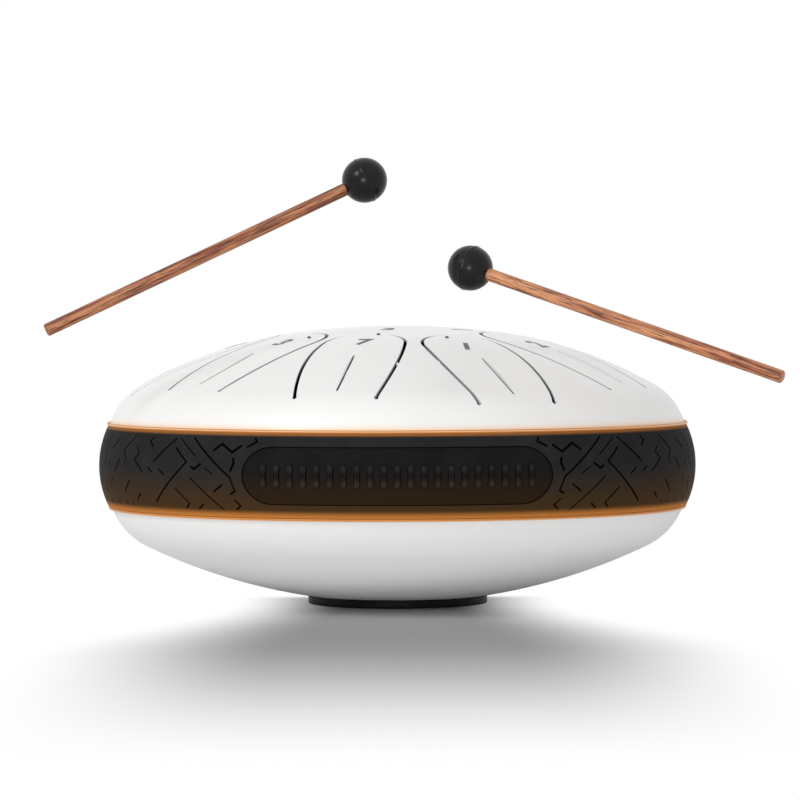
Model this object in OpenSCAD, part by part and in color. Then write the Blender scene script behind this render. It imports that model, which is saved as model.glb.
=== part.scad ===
// Steel tongue drum with its pair of mallets, in millimetres, +Z up.
// The origin is the centre of the face the foot ring stands on, and the player's front is -Y.
// Two pressed steel bowls meet at turned-out rim flanges with a seal ring between them.
// A moulded band wraps the rim, with a thin coloured bead along each of its edges.
// The mallets are held raised over the tongues, each lying along a line from its head to its butt.

/* [Bowls] */
// Outer radius of both bowls at the rim
bowl_r = 148; // [135:0.5:165]
// Height of the lower bowl from its flange face to its pole
bowl_depth = 70.9; // [62:0.1:78]
// Radius of the shallow crown of the lower bowl
crown_r = 295; // [260:1:340]
// Radius of the lower bowl's shoulder, between crown and wall
shoulder_r = 35; // [25:0.5:42]
// Height of the top bowl from its flange face to its pole
top_depth = 69.5; // [66:0.1:73]
// Radius of the top bowl's nearly flat crown
top_crown_r = 397; // [350:1:440]
// How far that crown reaches out from the drum's axis
top_crown_at = 50; // [40:1:60]
// Radius of the top bowl's flank, between crown and shoulder
top_flank_r = 222; // [200:1:250]
// Radius of the top bowl's shoulder, between flank and wall
top_shoulder_r = 32.4; // [28:0.1:38]
// Thickness of the steel sheet
sheet_t = 1.4; // [1:0.1:2]
// Width of the turned-out rim flange
flange_w = 2.6; // [2:0.1:3.2]
// Thickness of the seal ring between the flanges
gasket_t = 0.8; // [0.4:0.1:1.2]

/* [Tongues] */
// Number of tongues round the top bowl
tongue_count = 10; // [6:1:10]
// Turn of the first tongue from the front
first_tongue_turn = -12.9; // [-18:0.1:18]
// Distance from the rim of the top bowl in to the outermost root of a tongue
root_from_rim = 10.7; // [8:0.1:16]
// Radius of the plain middle of the top bowl, where a longest tongue with that root would end
hub_r = 56.8; // [55:0.1:70]
// Distance from a tongue's root to its widest place
belly_from_root = 32; // [25:0.5:35]
// Width of a tongue at its widest place
belly_w = 46.5; // [42:0.5:50]
// Width of a tongue at its root
root_w = 40.8; // [34:0.1:44]
// Width of the cut that frees a tongue
kerf_w = 1.7; // [0.8:0.1:2]
// Diameter of the round end of that cut at each root
root_hole_d = 2.2; // [1.8:0.1:3]
// Distance from a tongue's tip to the start of its centre slit
slit_from_tip = 41; // [36:0.5:46]
// Distance from a tongue's root to the end of its centre slit
slit_from_root = 3.5; // [2:0.5:8]
// Width of a centre slit
slit_w = 1; // [0.8:0.1:2]

/* [Rim band] */
// Height of the band
band_h = 41; // [34:0.5:46]
// Thickness of the band over the flanges, at its belly
band_skin = 1.6; // [1.2:0.1:4]
// How far the edges of the band draw in from its belly
band_crown = 4.7; // [3:0.1:4.9]
// How far the middle of the band lies below the rim
band_drop = 1; // [0:0.1:2]
// Thickness of the coloured beads
bead_d = 1.6; // [1:0.1:2.4]
// Depth of the carving in the band
relief_d = 0.8; // [0.4:0.1:1]
// Length of the long panel at the front of the band
panel_w = 152; // [120:1:170]
// Height of the long panel
panel_h = 29; // [22:0.5:31]
// Number of upright flutes in the panel
flute_count = 21; // [9:1:25]
// Height of a flute
flute_h = 11; // [8:0.5:16]
// Width of a flute
flute_w = 3; // [2:0.1:4]

/* [Foot ring and sound port] */
// Height of the lower pole above the table
stand_h = 0.7; // [0.5:0.1:2]
// Radius of the sound port in the lower bowl
port_r = 30; // [22:0.5:34]
// Outer radius of the foot ring
foot_r = 45.8; // [42:0.1:60]
// Thickness of the foot ring's wall inside the sound port
liner_t = 3; // [1.5:0.1:5]
// Rounding of the foot ring's outer lower edge
foot_edge_r = 0.8; // [0.4:0.1:1.5]
// How far the foot ring's inner lip grips past the port's edge
lip_grip = 3; // [2:0.5:5]
// Thickness of the lip above the sheet
lip_t = 1.6; // [1:0.1:2.5]

/* [Mallets] */
// Diameter of a mallet's rubber head
head_d = 22.4; // [18:0.2:30]
// Diameter of a mallet's stick
stick_d = 6.4; // [5:0.1:9]
// Distance from the middle of the head to the butt of the stick
reach = 174.5; // [150:0.5:240]
// Depth of the bore in the head, measured past its middle
tenon_past_middle = 4; // [2:0.5:6]
// Rounding of the butt
butt_round = 1.2; // [0.5:0.1:2]
// Width of the moulding seam round a head
seam_w = 0.8; // [0.4:0.1:1.4]
// How far the left head is to the left of the drum's axis
left_head_x = 15.8; // [0:0.1:60]
// How far the left head is in front of the drum's axis
left_head_y = 80; // [40:0.5:120]
// Height of the left head's middle over the top of the drum
left_rise = 73; // [30:0.1:120]
// Turn of the left stick towards the front, out of straight left
left_turn = 7.9; // [-30:0.1:60]
// Dip of the left stick from its head to its butt
left_dip = 25; // [0:0.1:30]
// How far the right head is to the right of the drum's axis
right_head_x = 36.4; // [0:0.1:60]
// How far the right head is in front of the drum's axis
right_head_y = 85; // [40:0.5:120]
// Height of the right head's middle over the top of the drum
right_rise = 29.4; // [20:0.1:120]
// Turn of the right stick towards the front, out of straight right
right_turn = 26.7; // [-30:0.1:60]
// Dip of the right stick from its head to its butt
right_dip = 17.6; // [0:0.1:20]

/* [Hidden] */
$fn = 96;

// Clearances and the overrun of every cut
seat_gap = 0.05;
bore_gap = 0.05;
over = 1;
// How far one arc bites into the next, so that they cross cleanly where they would only touch
arc_bite = 0.03;
flange_room = 0.3;
seam_rise_share = 0.02;

// From the first tongue round to the right: how far out each is rooted, as shares of the outermost
// root, how long each is, as shares of the longest, and its turn from the first in even pitches
tongue_root_shares = [0.977, 1, 0.951, 0.982, 0.972, 0.978, 0.97, 0.976, 0.984, 0.948];
tongue_len_shares = [1, 0.98, 0.99, 0.91, 0.93, 0.9, 0.92, 0.91, 0.93, 0.97];
tongue_turn_shares = [0, 1.055, 2.073, 3.073, 4.053, 5.03, 6.006, 6.983, 7.963, 8.961];
// Where the flutes stand, as the share of the panel's length that they fill
flute_run_share = 0.86;

// Heights of the rim and of the top of the drum
rim_z = stand_h + bowl_depth + gasket_t / 2;
top_z = rim_z + gasket_t / 2 + top_depth;

// The lower bowl's outline, from its flange face: the crown's and the shoulder's middles
crown_mid = bowl_depth - crown_r;
shoulder_at = bowl_r - shoulder_r;
shoulder_mid = crown_mid + sqrt(pow(crown_r - shoulder_r, 2) - pow(shoulder_at, 2)) + arc_bite;

// The top bowl's outline, from its flange face: the middles of its crown, flank and shoulder
top_crown_mid = top_depth - top_crown_r;
top_flank_at = top_crown_at * (1 - top_flank_r / top_crown_r);
top_flank_mid = top_crown_mid + arc_bite
    + (top_crown_r - top_flank_r) * sqrt(1 - pow(top_crown_at / top_crown_r, 2));
top_shoulder_at = bowl_r - top_shoulder_r;
top_shoulder_mid = top_flank_mid + arc_bite
    + sqrt(pow(top_flank_r - top_shoulder_r, 2) - pow(top_shoulder_at - top_flank_at, 2));

// The outermost root, and how long the longest tongue is
root_at = bowl_r - root_from_rim;
tongue_len = root_at - hub_r;

// A tongue's flanks are one wide arc on each side, and its tip is an arc tangent to both
flank_sag = (belly_w - root_w) / 2;
flank_r = (pow(belly_from_root, 2) + pow(flank_sag, 2)) / (2 * flank_sag);
flank_off = flank_r - belly_w / 2;

// The band reaches past the flanges, and its outer face is one arc
band_r = bowl_r + flange_w + flange_room + band_skin;
band_arc_r = (pow(band_h / 2, 2) + pow(band_crown, 2)) / (2 * band_crown);
band_arc_at = band_r - band_arc_r;
band_z = rim_z - band_drop;

function root_of(i) = root_at * tongue_root_shares[i];
function belly_of(i) = root_of(i) - belly_from_root;
function tip_of(i) = root_of(i) - tongue_len * tongue_len_shares[i];
function tip_r(m) = (pow(flank_r, 2) - pow(m, 2) - pow(flank_off, 2)) / (2 * (flank_r - m));

// Half of the lower bowl's section over its flange face, drawn inwards by inset
module lower_section(inset) {
    meet_at = (crown_r - inset) * shoulder_at / (crown_r - shoulder_r);
    intersection() {
        translate([0, crown_mid]) circle(r = crown_r - inset, $fn = 360);
        union() {
            square([meet_at, bowl_depth + over]);
            translate([shoulder_at, shoulder_mid]) circle(r = shoulder_r - inset, $fn = 180);
            square([bowl_r - inset, shoulder_mid]);
        }
        square([bowl_r + over, bowl_depth + over]);
    }
}

// Half of the top bowl's section over its flange face, drawn inwards by inset
module top_section(inset) {
    crown_meet = top_crown_at * (top_crown_r - inset) / top_crown_r;
    flank_run = (top_shoulder_at - top_flank_at) / (top_flank_r - top_shoulder_r);
    flank_meet = top_flank_at + flank_run * (top_flank_r - inset);
    intersection() {
        translate([0, top_crown_mid]) circle(r = top_crown_r - inset, $fn = 360);
        union() {
            square([crown_meet, top_depth + over]);
            intersection() {
                translate([top_flank_at, top_flank_mid]) circle(r = top_flank_r - inset, $fn = 360);
                union() {
                    square([flank_meet, top_depth + over]);
                    translate([top_shoulder_at, top_shoulder_mid])
                        circle(r = top_shoulder_r - inset, $fn = 180);
                    square([bowl_r - inset, top_shoulder_mid]);
                }
            }
        }
        square([bowl_r + over, top_depth + over]);
    }
}

// The sheet of a bowl's wall, thicker by gap on both faces
module lower_sheet(gap) {
    difference() {
        lower_section(-gap);
        lower_section(sheet_t + gap);
    }
}

module top_sheet() {
    difference() {
        top_section(0);
        top_section(sheet_t);
    }
}

// A bowl standing rim down on its flange face, from the section of its sheet
module bowl() {
    rotate_extrude($fn = 360) {
        children();
        translate([bowl_r - sheet_t, 0]) square([sheet_t + flange_w, sheet_t]);
    }
}

// The outline of one tongue grown by grow, pointing along +X from the drum's axis
module tongue_outline(i, grow) {
    r = tip_r(belly_of(i) - tip_of(i));
    tip_mid = tip_of(i) + r;
    meet = tip_mid - (r + grow) * (belly_of(i) - tip_mid) / (flank_r - r);
    intersection() {
        translate([belly_of(i), -flank_off]) circle(r = flank_r + grow, $fn = 180);
        translate([belly_of(i), flank_off]) circle(r = flank_r + grow, $fn = 180);
        union() {
            translate([tip_mid, 0]) circle(r = r + grow + arc_bite);
            translate([meet, -belly_w]) square([root_of(i) + over - meet, 2 * belly_w]);
        }
    }
}

// The cut round one tongue, open at its root, and the slit down its middle
module tongue_cut(i) {
    slit_start = tip_of(i) + slit_from_tip;
    slit_end = root_of(i) - slit_from_root;
    intersection() {
        difference() {
            tongue_outline(i, kerf_w / 2);
            tongue_outline(i, -kerf_w / 2);
        }
        translate([0, -belly_w]) square([root_of(i), 2 * belly_w]);
    }
    for (side = [-1, 1])
        translate([root_of(i), side * root_w / 2]) circle(d = root_hole_d, $fn = 24);
    translate([slit_start, -slit_w / 2]) square([slit_end - slit_start, slit_w]);
    for (end = [slit_start, slit_end])
        translate([end, 0]) circle(d = slit_w, $fn = 24);
}

// Top bowl, with its tongues cut free
module upper_shell() {
    color("white")
    translate([0, 0, rim_z + gasket_t / 2])
    difference() {
        bowl() top_sheet();
        for (i = [0 : tongue_count - 1])
            rotate([0, 0, first_tongue_turn - 90 + tongue_turn_shares[i] * 360 / tongue_count])
                translate([0, 0, top_shoulder_mid])
                    linear_extrude(top_depth - top_shoulder_mid + over)
                        tongue_cut(i);
    }
}

// Lower bowl, with the sound port at its pole
module lower_shell() {
    color("white")
    translate([0, 0, rim_z - gasket_t / 2])
    mirror([0, 0, 1])
    difference() {
        bowl() lower_sheet(0);
        cylinder(r = port_r, h = bowl_depth + over, $fn = 180);
    }
}

// Seal ring between the two flanges
module rim_gasket() {
    color("dimgray")
    translate([0, 0, rim_z - gasket_t / 2])
    difference() {
        cylinder(r = bowl_r + flange_w, h = gasket_t, $fn = 360);
        translate([0, 0, -over]) cylinder(r = bowl_r - sheet_t, h = gasket_t + 2 * over, $fn = 360);
    }
}

// Section of the band's outer face, drawn inwards by inset, about the band's middle height
module band_face(inset) {
    intersection() {
        translate([band_arc_at, 0]) circle(r = band_arc_r - inset, $fn = 180);
        translate([0, -band_h / 2]) square([band_r + over, band_h]);
    }
}

// Everything the band fits round: both bowls and their flanges, with a seat gap
module rim_room() {
    translate([0, gasket_t / 2]) top_section(-seat_gap);
    mirror([0, 1]) translate([0, gasket_t / 2]) lower_section(-seat_gap);
    clamp_h = gasket_t + 2 * sheet_t + 2 * seat_gap;
    translate([0, -clamp_h / 2]) square([bowl_r + flange_w + flange_room, clamp_h]);
}

// The long panel sunk into the front of the band, less its flutes
module panel_cut() {
    flute_step = panel_w * flute_run_share / (flute_count - 1);
    rotate([90, 0, 0])
        linear_extrude(band_r + over)
            difference() {
                union() {
                    square([panel_w - panel_h, panel_h], center = true);
                    for (side = [-1, 1])
                        translate([side * (panel_w - panel_h) / 2, 0]) circle(d = panel_h);
                }
                for (i = [0 : flute_count - 1])
                    translate([(i - (flute_count - 1) / 2) * flute_step, 0]) {
                        square([flute_w, flute_h - flute_w], center = true);
                        for (side = [-1, 1])
                            translate([0, side * (flute_h - flute_w) / 2]) circle(d = flute_w, $fn = 24);
                    }
            }
}

// Moulded band round the rim
module rim_band() {
    color("#1c1a18")
    translate([0, 0, band_z])
    difference() {
        rotate_extrude($fn = 360)
            difference() {
                band_face(0);
                translate([0, band_drop]) rim_room();
            }
        intersection() {
            rotate_extrude($fn = 360)
                difference() {
                    band_face(-over);
                    band_face(relief_d);
                }
            panel_cut();
        }
    }
}

// Bead lying in the corner between a bowl's shoulder and the band's edge. Flip is 1 for the top
// bowl and -1 for the lower one, and r, at and mid are the radius and middle of the shoulder's arc.
module trim_bead(flip, r, at, mid) {
    edge = band_h / 2 - flip * band_drop;
    up = edge + bead_d / 2 + seat_gap - gasket_t / 2;
    out = at + sqrt(pow(r + bead_d / 2 + seat_gap, 2) - pow(up - mid, 2));
    translate([0, 0, rim_z + flip * (up + gasket_t / 2)])
        rotate_extrude($fn = 360)
            translate([out, 0]) circle(d = bead_d, $fn = 48);
}

module upper_trim_bead() {
    color("#d98032") trim_bead(1, top_shoulder_r, top_shoulder_at, top_shoulder_mid);
}

module lower_trim_bead() {
    color("#d98032") trim_bead(-1, shoulder_r, shoulder_at, shoulder_mid);
}

// Foot ring: stands under the lower bowl and grips the sound port's edge with its inner lip
module foot_ring() {
    foot_bore_r = port_r - liner_t;
    sheet_at_foot = stand_h + crown_r - sqrt(pow(crown_r, 2) - pow(foot_r, 2));
    sheet_at_lip = stand_h + crown_r - sqrt(pow(crown_r - sheet_t, 2) - pow(port_r + lip_grip, 2));
    color("#151515")
    rotate_extrude($fn = 180)
    difference() {
        union() {
            translate([foot_bore_r, 0]) square([foot_r - foot_edge_r - foot_bore_r, sheet_at_foot]);
            translate([foot_bore_r, foot_edge_r])
                square([foot_r - foot_bore_r, sheet_at_foot - foot_edge_r]);
            translate([foot_r - foot_edge_r, foot_edge_r]) circle(r = foot_edge_r, $fn = 48);
            translate([foot_bore_r, 0])
                square([port_r + lip_grip - foot_bore_r, sheet_at_lip + lip_t]);
        }
        translate([0, rim_z - gasket_t / 2])
            mirror([0, 1])
                difference() {
                    lower_sheet(seat_gap);
                    square([port_r - seat_gap, bowl_depth + 2 * over]);
                }
    }
}

// Lays a mallet drawn along +X, with its head's middle at the origin, in its raised place.
// Side is -1 for the left mallet and 1 for the right one.
module raised(side, x, y, rise, turn, dip) {
    translate([side * x, -y, top_z + rise])
        rotate([0, dip, side > 0 ? -turn : 180 + turn])
            children();
}

module left_raised() {
    raised(-1, left_head_x, left_head_y, left_rise, left_turn, left_dip) children();
}

module right_raised() {
    raised(1, right_head_x, right_head_y, right_rise, right_turn, right_dip) children();
}

// Wooden stick, from the bottom of the head's bore to the rounded butt
module stick() {
    rotate([0, 90, 0])
        translate([0, 0, -tenon_past_middle + bore_gap])
            rotate_extrude() {
                length = reach + tenon_past_middle - bore_gap;
                square([stick_d / 2, length - butt_round]);
                square([stick_d / 2 - butt_round, length]);
                translate([stick_d / 2 - butt_round, length - butt_round])
                    intersection() {
                        circle(r = butt_round, $fn = 48);
                        square(butt_round);
                    }
            }
}

// Rubber head: a ball with a raised moulding seam and a blind bore for the stick
module head() {
    seam_r = head_d / 2 * (1 + seam_rise_share);
    rotate([0, 90, 0])
        rotate_extrude()
            difference() {
                intersection() {
                    union() {
                        circle(d = head_d);
                        intersection() {
                            circle(r = seam_r);
                            square([2 * seam_r, seam_w], center = true);
                        }
                    }
                    translate([0, -head_d]) square([head_d, 2 * head_d]);
                }
                translate([0, -tenon_past_middle]) square([stick_d / 2 + bore_gap, head_d]);
            }
}

module left_mallet_stick() {
    color("#a4583c") left_raised() stick();
}

module left_mallet_head() {
    color("#202020") left_raised() head();
}

module right_mallet_stick() {
    color("#a4583c") right_raised() stick();
}

module right_mallet_head() {
    color("#202020") right_raised() head();
}

upper_shell();
lower_shell();
rim_gasket();
rim_band();
upper_trim_bead();
lower_trim_bead();
foot_ring();
left_mallet_stick();
left_mallet_head();
right_mallet_stick();
right_mallet_head();
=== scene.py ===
"""Dressed steel tongue drum: two bowls, a rim band, its beads, a foot ring and a pair of mallets.

Sizes are in millimetres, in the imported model's own frame, and become metres in the meshes. Angles are
in degrees. The finishes count in metres, except where a size of the drum comes in.
"""
from __future__ import annotations

import logging
import math
from dataclasses import dataclass, field
from enum import Enum
from typing import Any, Iterable, Sequence, Union

import bmesh
import bpy
import numpy as np
from mathutils import Matrix, Vector
from mathutils.geometry import delaunay_2d_cdt
from mathutils.kdtree import KDTree


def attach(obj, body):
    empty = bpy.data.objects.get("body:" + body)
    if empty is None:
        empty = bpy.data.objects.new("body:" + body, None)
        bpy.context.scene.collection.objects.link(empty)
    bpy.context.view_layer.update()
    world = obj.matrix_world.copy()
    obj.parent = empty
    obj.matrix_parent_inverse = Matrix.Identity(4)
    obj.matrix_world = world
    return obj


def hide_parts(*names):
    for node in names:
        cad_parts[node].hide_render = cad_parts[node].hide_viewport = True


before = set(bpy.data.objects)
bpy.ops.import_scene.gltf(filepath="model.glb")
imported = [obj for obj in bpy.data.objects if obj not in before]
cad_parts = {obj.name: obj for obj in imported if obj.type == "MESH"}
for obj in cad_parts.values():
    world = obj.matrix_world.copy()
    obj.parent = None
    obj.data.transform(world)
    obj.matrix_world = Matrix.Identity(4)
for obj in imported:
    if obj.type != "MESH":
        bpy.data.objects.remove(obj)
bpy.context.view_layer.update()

logging.basicConfig(level=logging.INFO, format="%(message)s")
log = logging.getLogger("tongue_drum")

MM = 0.001
DRUM = "drum"
Colour = tuple[float, float, float]

# Height of the rim's middle, and the thickness of the gasket between the bowls' flanges
RIM_Z = 72.0
GASKET_T = 0.8
# Room between a piece of rubber and the bowl that it grips
SEAT_GAP = 0.05
# Radius of the sound port in the lower bowl
PORT_R = 30.0
# Radius and height of the middle of each bead's section
UPPER_BEAD = (147.64, 92.35)
LOWER_BEAD = (146.83, 49.65)
# Points of a turned piece that lie this close are welded
WELD = 0.004
# Points of a flat shape that lie this close are one
SAME_POINT = 0.00001
# Sizes that differ by less are equal, and so are places on a woven skin that differ by less than SLACK
TINY = 0.000001
SLACK = 0.001
# Least cosine of half a bend by which a stroke's side is widened there
SHARPEST_BEND = 0.35


# Node trees


class Value:
    """A number in a node tree, on which Python's operators add Math nodes."""

    def __init__(self, bench: Bench, socket: bpy.types.NodeSocket) -> None:
        """Wrap one output socket of the bench's tree."""
        self.bench = bench
        self.socket = socket

    def _math(self, operation: str, *terms: Term) -> Value:
        """Add one Math node.

        Args:
            operation: The node's operation.
            terms: Its inputs in order.

        Returns:
            The node's result.
        """
        result = self.bench.out("ShaderNodeMath", {"operation": operation}, dict(enumerate(terms)))
        return Value(self.bench, result)

    def __add__(self, other: Term) -> Value:
        """Sum."""
        return self._math("ADD", self, other)

    def __sub__(self, other: Term) -> Value:
        """Difference."""
        return self._math("SUBTRACT", self, other)

    def __rsub__(self, other: Term) -> Value:
        """Difference the other way round."""
        return self._math("SUBTRACT", other, self)

    def __mul__(self, other: Term) -> Value:
        """Product."""
        return self._math("MULTIPLY", self, other)

    def __truediv__(self, other: Term) -> Value:
        """Quotient."""
        return self._math("DIVIDE", self, other)

    def __mod__(self, other: Term) -> Value:
        """Remainder."""
        return self._math("MODULO", self, other)

    def __pow__(self, other: Term) -> Value:
        """Power."""
        return self._math("POWER", self, other)

    def __abs__(self) -> Value:
        """Size without sign."""
        return self._math("ABSOLUTE", self)

    def floor(self) -> Value:
        """Whole part."""
        return self._math("FLOOR", self)

    def sine(self) -> Value:
        """Sine."""
        return self._math("SINE", self)

    def cosine(self) -> Value:
        """Cosine."""
        return self._math("COSINE", self)

    def arcsine(self) -> Value:
        """Angle whose sine this is."""
        return self._math("ARCSINE", self)

    def above(self, limit: Term) -> Value:
        """1 where this is greater than the limit."""
        return self._math("GREATER_THAN", self, limit)

    def larger(self, other: Term) -> Value:
        """The larger of the two."""
        return self._math("MAXIMUM", self, other)

    def ramp(self, low: float, high: float) -> Value:
        """Soft step from 0 to 1.

        Args:
            low: Where the step is 0. It may be the larger of the two.
            high: Where the step is 1.

        Returns:
            The step's height at this value.
        """
        inputs = {"Value": self, "From Min": low, "From Max": high}
        step = self.bench.out("ShaderNodeMapRange", {"interpolation_type": "SMOOTHSTEP"}, inputs)
        return Value(self.bench, step)


Term = Union[Value, float, int]


class Bench:
    """Adds nodes to one tree, each with its settings first and its sockets after."""

    def __init__(self, tree: bpy.types.NodeTree) -> None:
        """Start on the given tree."""
        self.tree = tree

    def feed(self, socket: bpy.types.NodeSocket, value: Any) -> None:
        """Link or set one socket.

        Args:
            socket: The socket.
            value: A socket or a Value to link, or a plain value to set.
        """
        if isinstance(value, Value):
            value = value.socket
        if isinstance(value, bpy.types.NodeSocket):
            self.tree.links.new(value, socket)
        else:
            socket.default_value = value

    def node(
        self, kind: str, settings: dict[str, Any] | None = None, inputs: dict[Any, Any] | None = None
    ) -> bpy.types.Node:
        """Add one node.

        Args:
            kind: The node's type.
            settings: Its properties.
            inputs: Values or links by socket name or number.

        Returns:
            The new node.
        """
        made = self.tree.nodes.new(kind)
        for name, value in (settings or {}).items():
            setattr(made, name, value)
        for key, value in (inputs or {}).items():
            self.feed(made.inputs[key], value)
        return made

    def out(
        self,
        kind: str,
        settings: dict[str, Any] | None = None,
        inputs: dict[Any, Any] | None = None,
        which: int | str = 0,
    ) -> bpy.types.NodeSocket:
        """Add one node and give one of its outputs.

        Args:
            kind: The node's type.
            settings: Its properties.
            inputs: Values or links by socket name or number.
            which: The output's number or name.

        Returns:
            The output.
        """
        return self.node(kind, settings, inputs).outputs[which]

    def axes(self, place: bpy.types.NodeSocket) -> tuple[Value, Value, Value]:
        """The three coordinates of a place."""
        split = self.node("ShaderNodeSeparateXYZ", {}, {0: place})
        return tuple(Value(self, socket) for socket in split.outputs)

    def combined(self, x: Term, y: Term, z: Term) -> bpy.types.NodeSocket:
        """The vector of three numbers."""
        return self.out("ShaderNodeCombineXYZ", {}, {0: x, 1: y, 2: z})

    def vectors(self, operation: str, one: Any, other: Any) -> bpy.types.NodeSocket:
        """What a Vector Math node makes of two vectors."""
        return self.out("ShaderNodeVectorMath", {"operation": operation}, {0: one, 1: other})


class PaintBench(Bench):
    """A bench with what a finish needs: coordinates, noise, colours and bumps."""

    @classmethod
    def clean(cls, owner: bpy.types.Material | bpy.types.World) -> PaintBench:
        """Start on an emptied tree.

        Args:
            owner: The material or world whose tree it is.

        Returns:
            The bench.
        """
        owner.use_nodes = True
        owner.node_tree.nodes.clear()
        return cls(owner.node_tree)

    def place(self, turn: Matrix | None = None) -> bpy.types.NodeSocket:
        """Object coordinates in metres, seen from a piece's own axes if turn is given.

        Args:
            turn: The matrix that puts the piece in its place.

        Returns:
            The coordinates.
        """
        here = self.out("ShaderNodeTexCoord", which="Object")
        if turn is None:
            return here
        back = turn.inverted()
        inputs = {"Vector": here, "Location": back.to_translation(), "Rotation": back.to_euler()}
        return self.out("ShaderNodeMapping", {}, inputs)

    def noise(
        self, place: bpy.types.NodeSocket, scale: float, detail: float = 2.0, rough: float = 0.5
    ) -> Value:
        """Cloudy noise.

        Args:
            place: The coordinates.
            scale: About how many blobs there are in a metre.
            detail: How many finer layers are added.
            rough: How strong the finer layers are.

        Returns:
            The noise, from 0 to 1.
        """
        inputs = {"Vector": place, "Scale": scale, "Detail": detail, "Roughness": rough}
        return Value(self, self.out("ShaderNodeTexNoise", {}, inputs))

    def stretched(self, place: bpy.types.NodeSocket, shares: Sequence[float]) -> bpy.types.NodeSocket:
        """A place with each axis scaled by its own share."""
        return self.vectors("MULTIPLY", place, tuple(shares))

    def blend(self, share: Term, first: Any, second: Any) -> bpy.types.NodeSocket:
        """Mix two colours.

        Args:
            share: How much of the second colour is taken.
            first: The first colour or socket.
            second: The second colour or socket.

        Returns:
            The mixed colour.
        """
        one, other = ((*value, 1.0) if isinstance(value, tuple) else value for value in (first, second))
        return self.out("ShaderNodeMix", {"data_type": "RGBA"}, {0: share, 6: one, 7: other}, 2)

    def bump(self, height: Value, distance: float, strength: float) -> bpy.types.NodeSocket:
        """Bend the normal by a height.

        Args:
            height: The height, from 0 to 1.
            distance: What a height of 1 stands for, in metres.
            strength: How much of the bend is taken.

        Returns:
            The bent normal.
        """
        inputs = {"Height": height, "Distance": distance, "Strength": strength}
        return self.out("ShaderNodeBump", {}, inputs)


class ShapeTree:
    """A Geometry Nodes tree with named inputs that ends in Realize Instances and Set Material."""

    def __init__(self, name: str, inputs: dict[str, str]) -> None:
        """Open a tree.

        Args:
            name: The tree's name.
            inputs: Each input's name and socket type, after the piece's own geometry.
        """
        self.tree = bpy.data.node_groups.new(name, "GeometryNodeTree")
        self.sockets = {}
        kinds = {"Geometry": "NodeSocketGeometry", **inputs, "Finish": "NodeSocketMaterial"}
        for label, kind in kinds.items():
            self.sockets[label] = self.tree.interface.new_socket(
                name=label, in_out="INPUT", socket_type=kind
            ).identifier
        self.tree.interface.new_socket(name="Geometry", in_out="OUTPUT", socket_type=kinds["Geometry"])
        self.bench = Bench(self.tree)
        self._given = self.bench.node("NodeGroupInput")

    def given(self, label: str) -> bpy.types.NodeSocket:
        """The socket of one named input."""
        return self._given.outputs[label]

    def number(self, label: str) -> Value:
        """One named number."""
        return Value(self.bench, self.given(label))

    def index(self) -> Value:
        """The number of the point or copy that is being worked on."""
        return Value(self.bench, self.bench.out("GeometryNodeInputIndex"))

    def close(self, shape: bpy.types.NodeSocket) -> ShapeTree:
        """End the tree.

        Args:
            shape: The geometry that comes out of it, once it is made real and has its finish.

        Returns:
            The tree.
        """
        real = self.bench.out("GeometryNodeRealizeInstances", {}, {0: shape})
        inputs = {"Geometry": real, "Material": self.given("Finish")}
        self.bench.node("NodeGroupOutput", {}, {0: self.bench.out("GeometryNodeSetMaterial", {}, inputs)})
        return self

    def apply(self, piece: bpy.types.Object, **inputs: Any) -> bpy.types.Object:
        """Run the tree on a piece and keep the result as its plain mesh.

        Args:
            piece: The object whose mesh goes in.
            inputs: The named inputs, with spaces written as underscores.

        Returns:
            The same object.
        """
        modifier = piece.modifiers.new(self.tree.name, "NODES")
        modifier.node_group = self.tree
        for label, value in inputs.items():
            modifier[self.sockets[label.replace("_", " ")]] = value
        bpy.context.view_layer.update()
        graph = bpy.context.evaluated_depsgraph_get()
        made = bpy.data.meshes.new_from_object(piece.evaluated_get(graph))
        piece.modifiers.remove(modifier)
        piece.data = made
        return piece


def turning_tree() -> ShapeTree:
    """The tree that turns a profile of points round Z, with its sharp corners kept.

    Returns:
        A tree with the inputs Segments, Weld and Crease.
    """
    tree = ShapeTree(
        "turned_form",
        {"Segments": "NodeSocketInt", "Weld": "NodeSocketFloat", "Crease": "NodeSocketFloat"},
    )
    bench, profile, segments = tree.bench, tree.given("Geometry"), tree.number("Segments")
    size = bench.out("GeometryNodeAttributeDomainSize", {"component": "MESH"}, {0: profile})
    count, index = Value(bench, size), tree.index()
    grid = bench.out("GeometryNodeMeshGrid", {}, {"Vertices X": segments + 1, "Vertices Y": count}, "Mesh")
    point = bench.out(
        "GeometryNodeSampleIndex",
        {"data_type": "FLOAT_VECTOR", "domain": "POINT"},
        {"Geometry": profile, "Value": bench.out("GeometryNodeInputPosition"), "Index": index % count},
    )
    radius, _, height = bench.axes(point)
    angle = (index / count).floor() * (2 * math.pi) / segments
    place = bench.combined(radius * angle.cosine(), radius * angle.sine(), height)
    shape = bench.out("GeometryNodeSetPosition", {}, {"Geometry": grid, "Position": place})
    inputs = {"Geometry": shape, "Distance": tree.given("Weld")}
    welded = bench.out("GeometryNodeMergeByDistance", {}, inputs)
    inputs = {"Geometry": welded, "Shade Smooth": True}
    smooth = bench.out("GeometryNodeSetShadeSmooth", {"domain": "FACE"}, inputs)
    sharp = Value(bench, bench.out("GeometryNodeInputMeshEdgeAngle")).above(tree.number("Crease"))
    inputs = {"Geometry": smooth, "Selection": sharp, "Shade Smooth": False}
    return tree.close(bench.out("GeometryNodeSetShadeSmooth", {"domain": "EDGE"}, inputs))


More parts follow.
